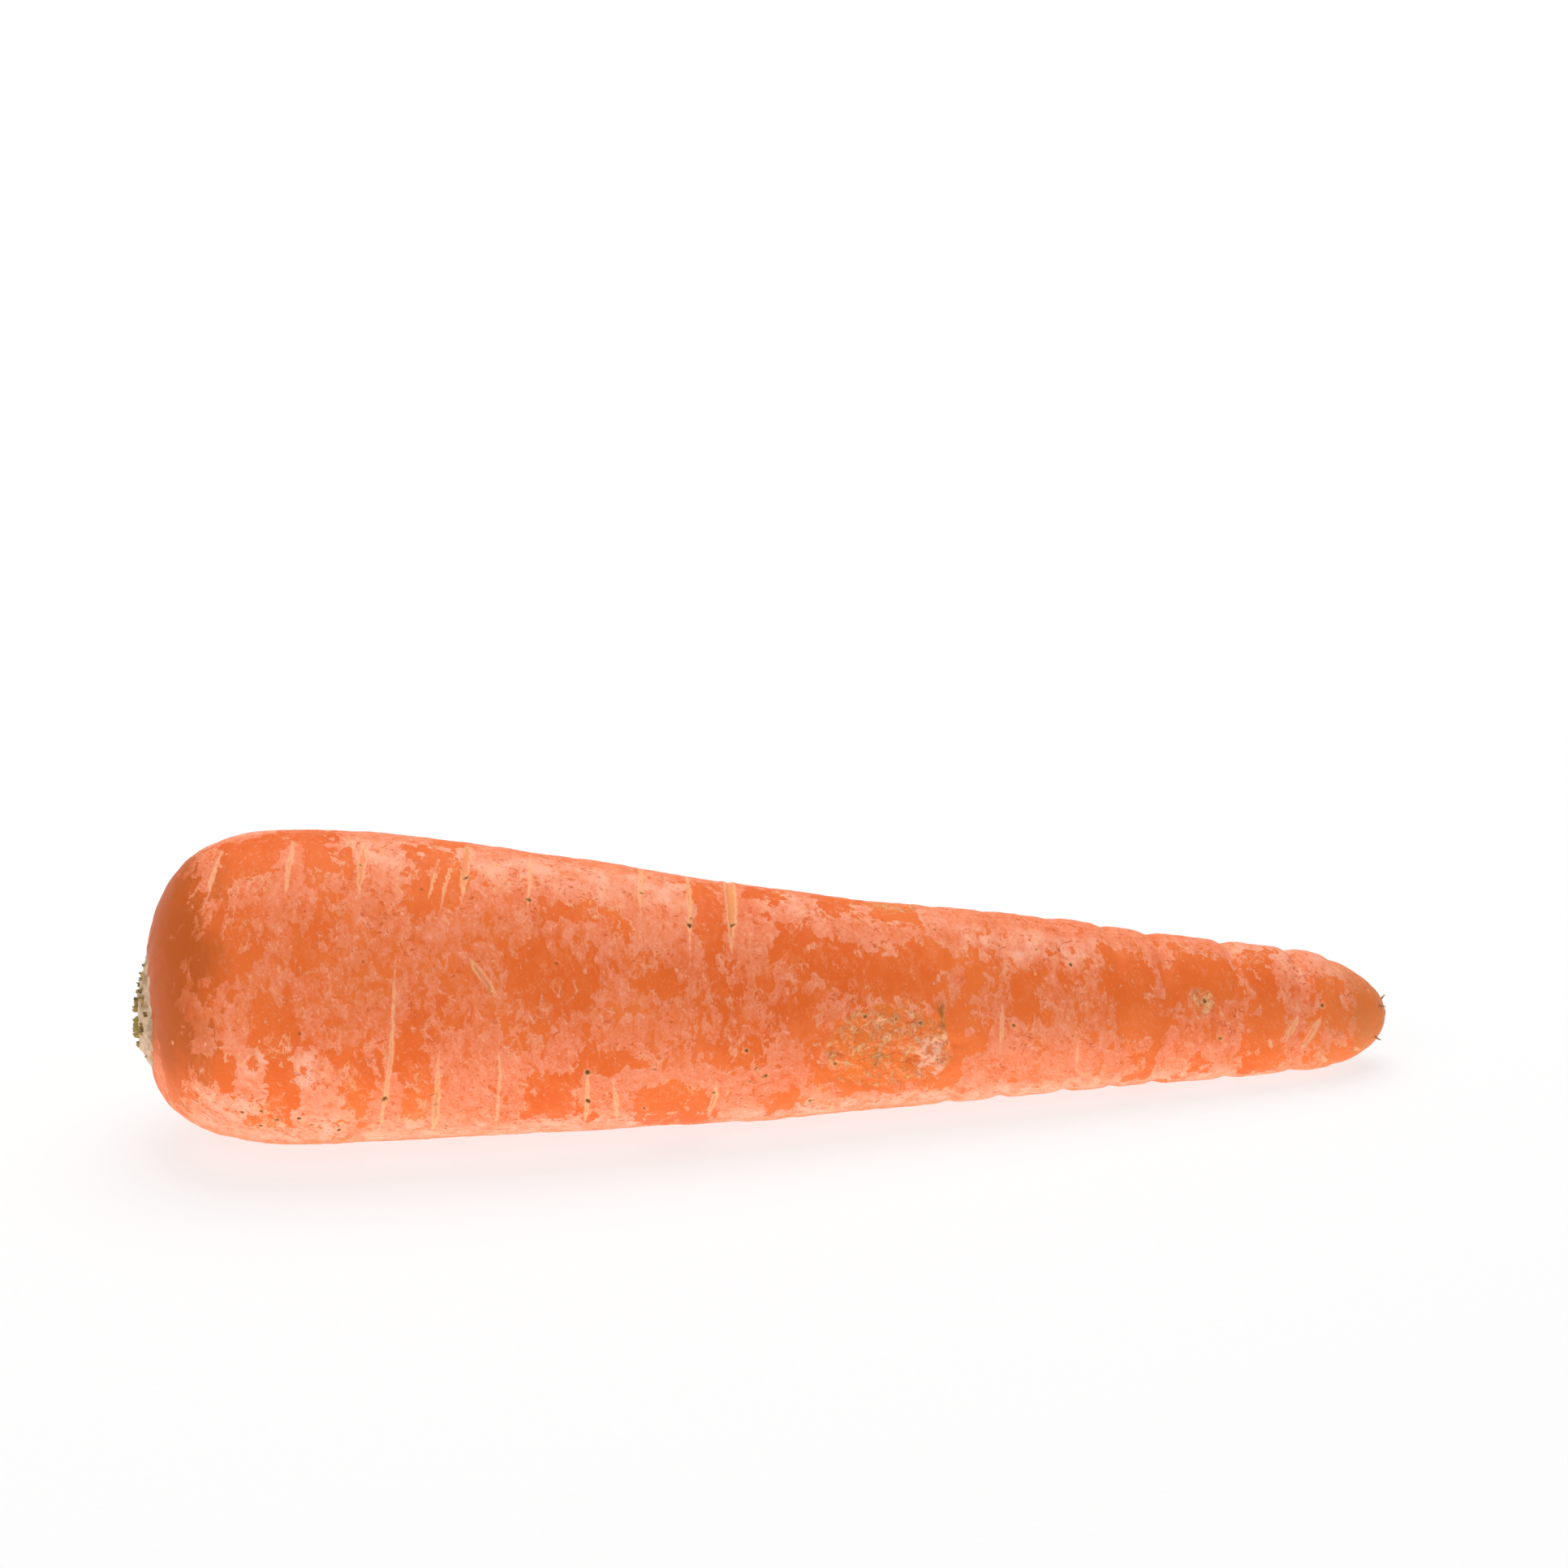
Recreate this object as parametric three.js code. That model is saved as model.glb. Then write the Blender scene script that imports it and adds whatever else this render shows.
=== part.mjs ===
// A fresh carrot lying on its side, with its leaves cut off close to the crown.
// Millimetres, +Z up. +X runs from the crown to the tip; the origin is under the middle of the root.
import * as THREE from 'three';

// Driving dimensions of the root.
const ROOT_LENGTH = 198.2;        // crown face to the skin at the tip
const SHOULDER_DISTANCE = 23.4;   // crown face to the thickest place
const TIP_CAP_LENGTH = 15.2;      // stretch over which the tip rounds off
const TAPER = [                   // [distance from the crown face, radius of the body]
  [0, 24.1], [23.4, 24.1], [44.5, 23.1], [67, 21.1], [91, 18.6],
  [111, 16.6], [137, 14.5], [163, 11.9], [185, 9.8], [198.2, 8.5],
];
const BOW = [                     // [distance from the crown face, sideways place of the middle line]
  [0, 1.2], [23.4, 0], [45, -1.7], [70, -3.5], [90, -3.8],
  [125, -2.5], [160, -1.0], [198.2, 0.3],
];
const SHOULDER_ROUNDNESS = [2.6, 2.9];
const TIP_ROUNDNESS = [2.2, 2.15];
const RESTING_SINK = 0.4;         // how far the underside is pressed flat by its own weight

// The low corky mound that the leaf stalks stand on, and the stump of the thin tail at the tip.
const CROWN_SCAR_RADIUS = 9.0;
const CROWN_FLAT_RADIUS = 4.4;
const CROWN_RISE = 1.2;           // how far the flat stands out of the crown face
const CROWN_SAG = 4.4;            // how far the flat lies below the line of the root
const CROWN_SAG_REACH = 3.5;      // distance over which the sag fades by a factor of e
const TAIL_RADIUS = 1.1;
const TAIL_LENGTH = 0.8;

// Mesh fineness.
const SECTORS = 44;
const DOME_RINGS = 10;
const BODY_RINGS = 36;
const TIP_RINGS = 9;

// Trimmed leaf stalks: crescents round a small heart. A turn of 0 is underneath and 90 faces -Y.
const STALK_GAP = 0.3;            // clear of the root they grow from
const OUTER_STALKS = { count: 5, radius: 3.5, thickness: 1.0, spread: 54, turn: 90 };
const INNER_STALKS = { count: 3, radius: 2.05, thickness: 0.8, spread: 86, turn: -40 };
const HEART_RADIUS = 0.95;
const OUTER_HEIGHTS = [1.2, 0.9, 0.7, 0.9, 0.8];
const INNER_HEIGHTS = [1.0, 0.8, 1.1];
const HEART_HEIGHT = 0.8;

const rootSkin = new THREE.MeshStandardMaterial({ color: 0xe8733a, roughness: 0.62, metalness: 0 });
const driedStalk = new THREE.MeshStandardMaterial({ color: 0x8f8a4a, roughness: 0.8, metalness: 0 });

// A smooth curve through a few [distance, value] pairs.
function curveThrough(pairs) {
  const places = new Float32Array(pairs.map((pair) => pair[0]));
  const values = new Float32Array(pairs.map((pair) => pair[1]));
  const curve = new THREE.CubicInterpolant(places, values, 1);
  return (distance) => curve.evaluate(distance)[0];
}

const bodyRadius = curveThrough(TAPER);
const middleLine = curveThrough(BOW);

// How much of the full radius is left where an end rounds off; u is 0 at full width and 1 at the end.
function rounding(u, [along, across]) {
  return Math.pow(Math.max(0, 1 - Math.pow(u, along)), 1 / across);
}

// Distance from the crown face at which the domed shoulder has a given radius.
function domeDistance(radius) {
  const [along, across] = SHOULDER_ROUNDNESS;
  const share = Math.pow(radius / bodyRadius(SHOULDER_DISTANCE), across);
  return SHOULDER_DISTANCE * (1 - Math.pow(1 - share, 1 / along));
}

// Half outline of the root, from the middle of the crown to the tip, as (radius, distance).
function rootOutline() {
  const rim = domeDistance(CROWN_SCAR_RADIUS);
  const slope = CROWN_SCAR_RADIUS - CROWN_FLAT_RADIUS;
  const points = [
    [0, -CROWN_RISE],
    [0.5 * CROWN_FLAT_RADIUS, -CROWN_RISE],
    [CROWN_FLAT_RADIUS, -CROWN_RISE],
    [CROWN_FLAT_RADIUS + 0.2 * slope, -0.6 * CROWN_RISE],
    [CROWN_FLAT_RADIUS + 0.6 * slope, -0.05 * CROWN_RISE],
    [CROWN_SCAR_RADIUS, rim],
  ];
  for (let i = 1; i <= DOME_RINGS; i += 1) {
    const u = Math.pow(1 - i / DOME_RINGS, 2);
    const distance = rim + (SHOULDER_DISTANCE - rim) * (1 - Math.sqrt(u));
    const share = rounding(1 - distance / SHOULDER_DISTANCE, SHOULDER_ROUNDNESS);
    points.push([bodyRadius(SHOULDER_DISTANCE) * share, distance]);
  }
  const capStart = ROOT_LENGTH - TIP_CAP_LENGTH;
  for (let i = 1; i <= BODY_RINGS; i += 1) {
    const distance = THREE.MathUtils.lerp(SHOULDER_DISTANCE, capStart, i / BODY_RINGS);
    points.push([bodyRadius(distance), distance]);
  }
  for (let i = 1; i < TIP_RINGS; i += 1) {
    const u = Math.sin((i / TIP_RINGS) * Math.PI / 2);
    const distance = capStart + TIP_CAP_LENGTH * u;
    points.push([bodyRadius(distance) * rounding(u, TIP_ROUNDNESS), distance]);
  }
  points.push([TAIL_RADIUS * 1.4, ROOT_LENGTH - 0.1]);
  points.push([TAIL_RADIUS, ROOT_LENGTH + 0.5 * TAIL_LENGTH]);
  points.push([0, ROOT_LENGTH + TAIL_LENGTH]);
  return points.map(([radius, distance]) => new THREE.Vector2(radius, distance));
}

// Where the middle line runs: bowed sideways, as high as the body is thick, and sagging at the crown.
function middlePoint(distance) {
  const along = THREE.MathUtils.clamp(distance, 0, ROOT_LENGTH);
  const sag = CROWN_SAG * Math.exp(-(distance + CROWN_RISE) / CROWN_SAG_REACH);
  return new THREE.Vector3(distance, middleLine(along), bodyRadius(along) - RESTING_SINK - sag);
}

// The lathed outline, laid on its side, bent along the middle line and pressed flat underneath.
function rootGeometry() {
  const geometry = new THREE.LatheGeometry(rootOutline(), SECTORS);
  geometry.rotateZ(-Math.PI / 2);
  const position = geometry.attributes.position;
  for (let i = 0; i < position.count; i += 1) {
    const middle = middlePoint(position.getX(i));
    const height = Math.max(0, middle.z + position.getZ(i));
    position.setXYZ(i, middle.x, middle.y + position.getY(i), height);
  }
  geometry.deleteAttribute('normal');
  geometry.deleteAttribute('uv');
  return geometry;
}

// A stalk's cross-section: an arc of a ring, hollow towards the heart.
function crescentShape({ radius, thickness, spread }) {
  const half = THREE.MathUtils.degToRad(spread / 2);
  const shape = new THREE.Shape();
  shape.absarc(0, 0, radius + thickness / 2, -half, half, false);
  shape.absarc(0, 0, radius - thickness / 2, half, -half, true);
  shape.closePath();
  return shape;
}

function heartShape() {
  const shape = new THREE.Shape();
  shape.absarc(0, 0, HEART_RADIUS, 0, 2 * Math.PI, false);
  return shape;
}

// A cut stalk standing on the crown's flat, pointing away from the tip.
function stalk(name, shape, height, turn) {
  const geometry = new THREE.ExtrudeGeometry(shape, { depth: height, bevelEnabled: false, curveSegments: 8 });
  const mesh = new THREE.Mesh(geometry, driedStalk);
  mesh.name = name;
  mesh.rotation.z = THREE.MathUtils.degToRad(180 + turn);
  return mesh;
}

function stalkRing(label, ring, heights) {
  return heights.map((height, i) => {
    const turn = ring.turn + (360 / ring.count) * i;
    return stalk(`${label}_${i + 1}`, crescentShape(ring), height, turn);
  });
}

function leafStalks() {
  const crown = new THREE.Group();
  const middle = middlePoint(-CROWN_RISE);
  crown.position.set(middle.x - STALK_GAP, middle.y, middle.z);
  crown.rotation.set(0, -Math.PI / 2, 0);
  crown.add(...stalkRing('outer_leaf_stalk', OUTER_STALKS, OUTER_HEIGHTS));
  crown.add(...stalkRing('inner_leaf_stalk', INNER_STALKS, INNER_HEIGHTS));
  crown.add(stalk('heart_leaf_stalk', heartShape(), HEART_HEIGHT, 0));
  return crown;
}

function carrot() {
  const whole = new THREE.Group();
  const root = new THREE.Mesh(rootGeometry(), rootSkin);
  root.name = 'carrot_root';
  whole.add(root, leafStalks());
  whole.updateMatrixWorld(true);
  const box = new THREE.Box3().setFromObject(whole);
  const middle = box.getCenter(new THREE.Vector3());
  whole.position.set(-middle.x, -middle.y, -box.min.z);
  return whole;
}

export default carrot();
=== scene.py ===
"""Builds a fresh carrot lying on its side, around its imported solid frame.

The file is laid out as an add-on and run as a script. Lengths are in metres and angles in radians,
except in the lists at the top, which are in millimetres and degrees. A place on the root is given by
its distance from the crown face and its turn round the root: 0 is the top and 90 faces -Y.
"""
from math import cos, pi, radians, sin, tan

import bpy
import numpy as np
from bpy.props import FloatProperty, FloatVectorProperty, IntProperty, PointerProperty
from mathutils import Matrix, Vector, noise


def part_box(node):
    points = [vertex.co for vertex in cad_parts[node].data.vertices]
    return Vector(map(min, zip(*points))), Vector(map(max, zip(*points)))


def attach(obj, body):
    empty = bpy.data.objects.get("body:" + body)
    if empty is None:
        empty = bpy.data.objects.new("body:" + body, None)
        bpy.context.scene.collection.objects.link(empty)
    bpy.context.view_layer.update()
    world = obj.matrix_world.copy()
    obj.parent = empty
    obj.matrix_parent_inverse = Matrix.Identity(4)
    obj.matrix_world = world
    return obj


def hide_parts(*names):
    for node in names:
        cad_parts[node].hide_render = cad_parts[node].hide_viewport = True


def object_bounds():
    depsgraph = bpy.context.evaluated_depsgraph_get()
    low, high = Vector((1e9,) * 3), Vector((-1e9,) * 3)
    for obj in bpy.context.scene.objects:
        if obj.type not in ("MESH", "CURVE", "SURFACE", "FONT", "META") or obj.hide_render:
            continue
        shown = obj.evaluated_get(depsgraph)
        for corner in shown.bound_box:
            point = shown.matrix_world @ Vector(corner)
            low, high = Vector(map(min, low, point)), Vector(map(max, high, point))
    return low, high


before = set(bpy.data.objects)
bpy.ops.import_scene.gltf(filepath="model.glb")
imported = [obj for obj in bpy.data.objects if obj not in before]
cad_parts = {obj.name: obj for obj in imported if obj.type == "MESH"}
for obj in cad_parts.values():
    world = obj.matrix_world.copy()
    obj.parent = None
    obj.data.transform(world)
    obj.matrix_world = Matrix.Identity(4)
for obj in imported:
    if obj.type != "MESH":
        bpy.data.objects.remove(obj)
cad_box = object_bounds()

bl_info = {
    "name": "Carrot",
    "version": (1, 0, 0),
    "blender": (4, 5, 0),
    "location": "3D View > Sidebar > Carrot",
    "description": "Builds a carrot with its skin, trimmed leaf stalks and fine roots",
    "category": "Add Mesh",
}

MM = 0.001
MIX_FIRST, MIX_SECOND, MIX_RESULT = 6, 7, 2     # a Mix node's colour sockets
WHITE = (1, 1, 1)
FAR = 9.0                   # stored in place of a mark's coordinate where no mark is near
CRINKLE_STEP = (0.0001, -0.0001, 0.0002)    # metres between a crinkle and the shade beside it

# The root's outline, in millimetres: the same driving dimensions as its solid.
ROOT_LENGTH = 198.2
SHOULDER_DISTANCE = 23.4
TIP_CAP_LENGTH = 15.2
TAPER = [
    (0, 24.1), (23.4, 24.1), (44.5, 23.1), (67, 21.1), (91, 18.6),
    (111, 16.6), (137, 14.5), (163, 11.9), (185, 9.8), (198.2, 8.5),
]
BOW = [
    (0, 1.2), (23.4, 0), (45, -1.7), (70, -3.5), (90, -3.8),
    (125, -2.5), (160, -1.0), (198.2, 0.3),
]
SHOULDER_ROUNDNESS = (2.6, 2.9)
TIP_ROUNDNESS = (2.2, 2.15)
RESTING_SINK = 0.4
CROWN_SCAR_RADIUS = 9.0
CROWN_FLAT_RADIUS = 4.4
CROWN_RISE = 1.2
CROWN_SAG = 4.4
CROWN_SAG_REACH = 3.5
CROWN_PLEATS = 23
PLEAT_HEIGHT = 0.07
RIM_RADIUS, RIM_WIDTH = 8.6, 1.1            # the crumbly rim round the crown's face
FACE_RADIUS = 14.0          # no skin farther out than this is part of the face
CROWN_FACE_DEPTH = 3.0      # only skin this near the crown face can be part of the corky crown
TAIL_RADIUS = 1.1
TAIL_LENGTH = 0.8
TAIL_SHOWN = 0.4            # how much of the solid's tail the skin keeps
TAIL_ROOTING = 0.25         # how far the tail starts inside the tip
SKIN_INSET = 0.12           # the skin's lumps stand on a surface this far inside the solid

# The skin's relief: how large, in millimetres, its noises are.
LUMP_SIZE = 17.0
WRINKLE_SIZE = 4.0
CRUMBLE_SIZE = 2.2
CRUMB_SIZE = 1.1
WEAR_SIZE = 8.0
WAVER_SIZE = 14.0

# Marks, in millimetres: how far round a mark its coordinates are stored, and the smallest radius that
# turns are measured on.
SCAR_REACH = 2.5
SPOT_REACH = 2.0
SCAR_LIP = 0.35             # height of a scar's lips as a share of its depth
WEAR_WANDER = 3.0           # how far the edge of a worn patch wanders
NARROWEST = 3

# How fine the skin's patterns are, per metre.
FINENESS = {
    "film": 105.0, "grain": 190.0, "flesh": 34.0, "sheer": 330.0, "curls": 380.0, "cracks": 430.0,
    "crack_gaps": 900.0, "crinkles": 420.0, "bends": 220.0, "mark_edges": 900.0, "chips": 560.0,
    "threads": 420.0, "crust": 460.0, "soil": 480.0, "dark_specks": 420.0, "pale_specks": 430.0,
    "stalk": 700.0, "pores": 1800.0, "fibre": 900.0, "paper": 900.0,
}
BANDING = (1.5, 1.0, 1.0)   # the film tears round the root, so its noise is squeezed along it
STALK_FIBRES = (0.25, 1.0, 1.0)
SCRAP_FIBRES = (0.3, 1, 1)
CRACK_SLANT = (1.0, 1.3, 1.3)
CRACK_SHIFT = (0.3, 0.1, 0.2)
FILM_RAGGEDNESS = 1.25
FILM_EDGE = 0.035
LENS_BEND = 0.9             # how far a scar wanders off its straight line

# What the light sees, in metres: the depth of each fine relief, and how deep light goes into the flesh,
# with the share of that depth that red, green and blue light reach.
FILM_RELIEF = 0.00003
GRAIN_RELIEF = 0.00006
STALK_RELIEF = 0.00012
FIBRE_RELIEF = 0.00008
GLOW_DEPTH = 0.0015
GLOW_REACH = (1.0, 0.35, 0.12)

# Fineness of the root's mesh: rings in each stretch, and points round each ring.
RINGS = {"crown": 30, "dome": 70, "body": 410, "cap": 56, "tail": 8}
SECTORS = 172

# Where the dry film has worn off and the flesh shows: from, to along the root; from, to round it.
WORN_PATCHES = [
    (-2, 8, -60, 72), (1, 5, 72, 300), (11, 20, 0, 30), (23, 30, -12, 8), (25, 31, 12, 25),
    (40, 47, 6, 42), (44, 50, -12, 6), (54, 58, 60, 72), (58, 65, 56, 76), (73, 77, 62, 70),
    (59, 71, 33, 40), (20, 29, 58, 68), (10, 14, 48, 66), (15.5, 21, 78, 130), (7, 11, 100, 112),
    (28.5, 33, 100, 133), (36, 41, 88, 126), (54.5, 62.5, 104, 133), (62, 72, 97, 105),
    (62, 66, 124, 142), (70, 82, 110, 130), (75, 90, 97, 103), (82.5, 86, 4, 70),
    (92, 98, -10, 9), (103, 109, -8, 20), (95, 99, 30, 48), (100, 121, 38, 68),
    (98, 101.5, 72, 118), (111, 118, 2, 18), (93, 100, 122, 138), (87, 91, 62, 70),
    (101, 123, 80, 122), (120, 125, 64, 84), (125, 129, 47, 58), (132, 136, 54, 78),
    (122, 126, 92, 100), (149, 156, 28, 98), (157, 171, 33, 58), (160, 166, 20, 33),
    (152, 156, 106, 138), (157, 163, 62, 84), (161, 165, 108, 136), (171.5, 178, 6, 136),
    (183, 189, 44, 100), (183, 198, 102, 142), (190, 200, 44, 102),
]
HIDDEN_PATCHES = 34         # more of them, scattered over the side that rests and the far side
HIDDEN_TURNS = (145, 325)
HIDDEN_SPOTS = 26

# Where the film is thin and the flesh shows through: from, to along the root; from, to round it.
THIN_FILM = [
    (4, 30, 40, 84), (20, 64, 42, 94), (62, 102, 52, 94), (122, 150, 46, 82), (150, 174, 60, 100),
    (20, 180, 190, 240), (30, 90, 262, 300),
]

# Where the film is thick and frosted: from, to along the root; from, to round it.
# The stretches along the underside, near turns 112 to 155, are partly painted light: the floor's light
# drawn as paler film.
FROSTED_FILM_AND_LIT_UNDERSIDE = [
    (8, 23, -34, -3), (6, 30, 112, 150), (12, 26, 90, 114), (28, 84, 0, 30), (92, 124, -6, 26),
    (116, 121, 86, 112), (124, 148, 18, 46), (96, 124, 124, 150), (30, 98, 130, 155),
    (124, 178, 124, 155), (178, 190, 10, 44), (170, 190, -20, 26), (60, 150, 250, 280),
    (20, 60, 170, 190), (90, 130, 300, 325),
]

# Scars of side roots: distance and turn at both ends, half width.
SCARS = [
    (22.9, 8, 21.0, 38, 0.36), (33.6, 5, 31.7, 38, 0.66), (49.6, -6, 46.9, 36, 0.78),
    (46.8, 12, 43.6, 40, 0.34), (45.2, 10, 41.8, 38, 0.36), (58.7, 0, 56.7, 37, 0.26),
    (76.8, -28, 73.6, 34, 0.34), (83.4, -14, 80.4, 52, 0.36), (90.4, -28, 87.0, 50, 0.9),
    (36.2, 66, 33.3, 142, 0.34), (42.1, 97, 41.4, 142, 0.5), (51.0, 96, 51.0, 134, 0.22),
    (64.0, 104, 64.5, 140, 0.34), (68.2, 110, 69.4, 140, 0.3), (84.0, 112, 83.6, 136, 0.46),
    (103, 130, 103.4, 152, 0.24), (12.4, 8, 9.8, 34, 0.3), (142.2, 100, 142.6, 120, 0.12),
    (47.0, 60, 50.6, 74, 0.72), (129.7, 72, 129.2, 98, 0.3), (177.8, 101, 180.2, 77, 0.5),
    (180.8, 112, 183.8, 78, 0.55), (185.0, 120, 186.2, 134, 0.5), (190.8, 117, 192.2, 130, 0.4),
    (175.0, 98, 175.6, 109, 0.24), (45.6, 14, 42.6, 30, 0.2), (188.4, 8, 189.6, 24, 0.2),
]
HIDDEN_SCAR_ROWS = (208, 297)

# Small dark spots: distance, turn, radius.
SPOTS = [
    (34.1, 117, 0.5), (41.7, 117, 0.55), (64.4, 121, 0.5), (64.0, 105, 0.32), (91.7, 109.5, 0.42),
    (90.3, 105, 0.24), (89.3, 113, 0.28), (47.9, 25, 0.42), (87.9, 34, 0.34), (81.1, 37, 0.34),
    (57.0, 33, 0.32), (32.4, 22, 0.26), (16.0, 123, 0.3), (16.1, 133, 0.34), (21.6, 127, 0.34),
    (13.2, 125, 0.28), (23.6, 131, 0.24), (83.6, 119, 0.26), (107.2, 78, 0.22), (112.4, 80, 0.22),
    (163.8, 66, 0.34), (184.4, 67, 0.2), (142.0, 44, 0.2), (136.5, 35, 0.26), (102.6, 104, 0.3),
    (116.4, 82, 0.2), (131.4, 84, 0.24), (74.6, 20, 0.22), (120.6, 24, 0.26), (99.4, 130, 0.26),
    (166.4, 96, 0.24), (27.6, 136, 0.26), (18.4, 128, 0.26), (88.4, 95.5, 0.2), (41.9, 120, 0.4),
    (73.2, 128, 0.22), (119.0, 104, 0.24),
]

# Rough healed wounds: distance, turn, half length along, half length round (degrees).
WOUNDS = [(111.2, 97, 11.2, 27), (115, -4, 4.5, 13), (163.6, 66, 2.3, 11)]
# Pale crumbs in the wounds: from, to along the root; from, to round it; how pale.
WOUND_CREAM = [
    (103, 112, 73, 79, 0.25), (109, 118, 74, 92, 0.3), (115.8, 120.3, 90, 115, 0.9),
    (162, 165.2, 58, 74, 0.2),
]
WOUND_STAINS = [(108.2, 111.2, 97, 110), (118.8, 120.4, 66, 92), (163.4, 164.4, 64, 69)]
# Fields that are blotted onto the skin: how softly each fades, in millimetres, and its stretches.
BLOTS = {
    "thin": (6.0, THIN_FILM), "thick": (3.0, FROSTED_FILM_AND_LIT_UNDERSIDE), "cream": (1.2, WOUND_CREAM),
    "soiled": (0.8, WOUND_STAINS),
}

# Constrictions round the root: distance, depth share, half width.
CONSTRICTIONS = [
    (12, 0.15, 2.0), (31, 0.14, 1.6), (47, 0.12, 1.4), (58, 0.2, 1.5), (75.5, 0.2, 1.4),
    (88, 0.22, 1.5), (97, 0.2, 1.3), (112, 0.2, 1.4), (122.8, 0.7, 1.2), (131.2, 0.8, 1.1),
    (141.8, 0.9, 1.3), (150, 0.9, 1.1), (157.5, 1.0, 1.2), (170, 1.1, 1.4), (181.2, 1.0, 1.3),
    (188.5, 0.5, 1.0),
]

STALK_RINGS = {
    "outer_leaf_stalk": {"count": 5, "radius": 3.5, "thickness": 1.0, "spread": 54},
    "inner_leaf_stalk": {"count": 3, "radius": 2.05, "thickness": 0.8, "spread": 86},
}
HEART_RADIUS = 0.95
STALK_SEED, SCRAP_SEED = 21, 5
STALK_POINTS, HEART_POINTS, SCRAP_POINTS = 48, 32, 14      # round each kind of section
STALK_SWELL = 1.06          # how much wider a stalk spreads than its solid
STALK_LEVELS = 12           # layers up a stalk's sides
CUT_SHARES = (0.75, 0.45, 0.15, 0.0)        # how wide the layers over a cut are
STALK_RIBS = 13
STALK_ROOTING = 0.9         # how far a stalk is sunk into the mound, from its solid's foot

# Dry sheath scraps on the crown: the turn they gather round and how far they spread from it, the radii
# they stand on, their half widths and heights, and how far their feet are sunk in.
SCRAP_TURN = 95
SCRAP_SPREAD = 75
SCRAP_RADII = (4.3, 7.6)
SCRAP_WIDTHS = (0.2, 0.8)
SCRAP_HEIGHTS = (0.6, 1.0)
SCRAP_THICKNESS = 0.32
SCRAP_ROOTING = 0.4
SCRAP_FRAY = 0.22

# Fine roots left at the tip: turn, distance from the axis, length, droop.
TIP_HAIRS = [(58, 4.6, 1.3, 0.5), (118, 5.4, 1.5, -0.4), (12, 2.6, 1.2, 0.2), (250, 3.8, 1.4, 0.6)]

# The stage, in metres. The floor lies a little below the carrot, so that the two share no plane. The
# backdrop's glow fades above the horizon, where it only lights the carrot.
FLOOR_REACH = 15.0
FLOOR_DROP = 0.00005
GLOW_FADES_AT = 0.09
PAPER_TONES = ((0.23, 0.23, 0.23), (0.25, 0.25, 0.25))
# Lights: name, place, width, share of the overhead light's power.
LIGHTS = [("overhead", (0.05, 0.25, 0.9), 1.0, 1.0), ("window", (-0.7, -0.5, 0.8), 0.6, 0.25)]


def tone(red, green, blue):
    """A display colour, 0 to 255, as the linear colour that a shader takes."""
    def linear(value):
        share = value / 255
        return share / 12.92 if share <= 0.04045 else ((share + 0.055) / 1.055) ** 2.4
    return (linear(red), linear(green), linear(blue))


# ---------------------------------------------------------------- the root's shape

def smooth_curve(pairs):
    """A smooth function through a few (place, value) pairs."""
    at = np.array([p[0] for p in pairs], float)
    value = np.array([p[1] for p in pairs], float)
    before = np.concatenate(([2 * at[0] - at[1]], at[:-1]))
    value_before = np.concatenate(([value[1]], value[:-1]))
    after = np.concatenate((at[1:], [2 * at[-1] - at[-2]]))
    value_after = np.concatenate((value[1:], [value[-2]]))

    def evaluate(place):
        place = np.asarray(place, float)
        i = np.clip(np.searchsorted(at, place, side="right"), 1, len(at) - 1)
        t0, t1 = at[i - 1], at[i]
        half = (t1 - t0) / 2
        w0 = half / (t0 - before[i - 1])
        w1 = half / (after[i] - t1)
        p = (place - t0) / (t1 - t0)
        p2, p3 = p * p, p * p * p
        return (
            (-w0 * p3 + 2 * w0 * p2 - w0 * p) * value_before[i - 1]
            + ((1 + w0) * p3 + (-1.5 - 2 * w0) * p2 + (-0.5 + w0) * p + 1) * value[i - 1]
            + ((-1 - w1) * p3 + (1.5 + w1) * p2 + 0.5 * p) * value[i]
            + (w1 * p3 - w1 * p2) * value_after[i]
        )

    return evaluate


body_radius = smooth_curve(TAPER)
middle_line = smooth_curve(BOW)


def rounding(u, roundness):
    """How much of the full radius is left where an end rounds off: u is 1 at the very end."""
    along, across = roundness
    return np.maximum(0, 1 - np.clip(u, 0, 1) ** along) ** (1 / across)


def dome_distance(radius):
    """Distance from the crown face at which the domed shoulder has this radius."""
    along, across = SHOULDER_ROUNDNESS
    share = (radius / body_radius(SHOULDER_DISTANCE)) ** across
    return SHOULDER_DISTANCE * (1 - (1 - share) ** (1 / along))


def even_steps(first, last, count):
    return first + (last - first) * np.arange(1, count + 1) / count


CROWN_RIM = float(dome_distance(CROWN_SCAR_RADIUS))


def mound(radius):
    """Distance, from the crown face, of the crown's mound at this radius."""
    flat, rise = CROWN_FLAT_RADIUS, CROWN_RISE
    slope = CROWN_SCAR_RADIUS - flat
    knots = (flat, flat + 0.2 * slope, flat + 0.6 * slope, CROWN_SCAR_RADIUS)
    return np.interp(radius, knots, (-rise, -0.6 * rise, -0.05 * rise, CROWN_RIM))


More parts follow.
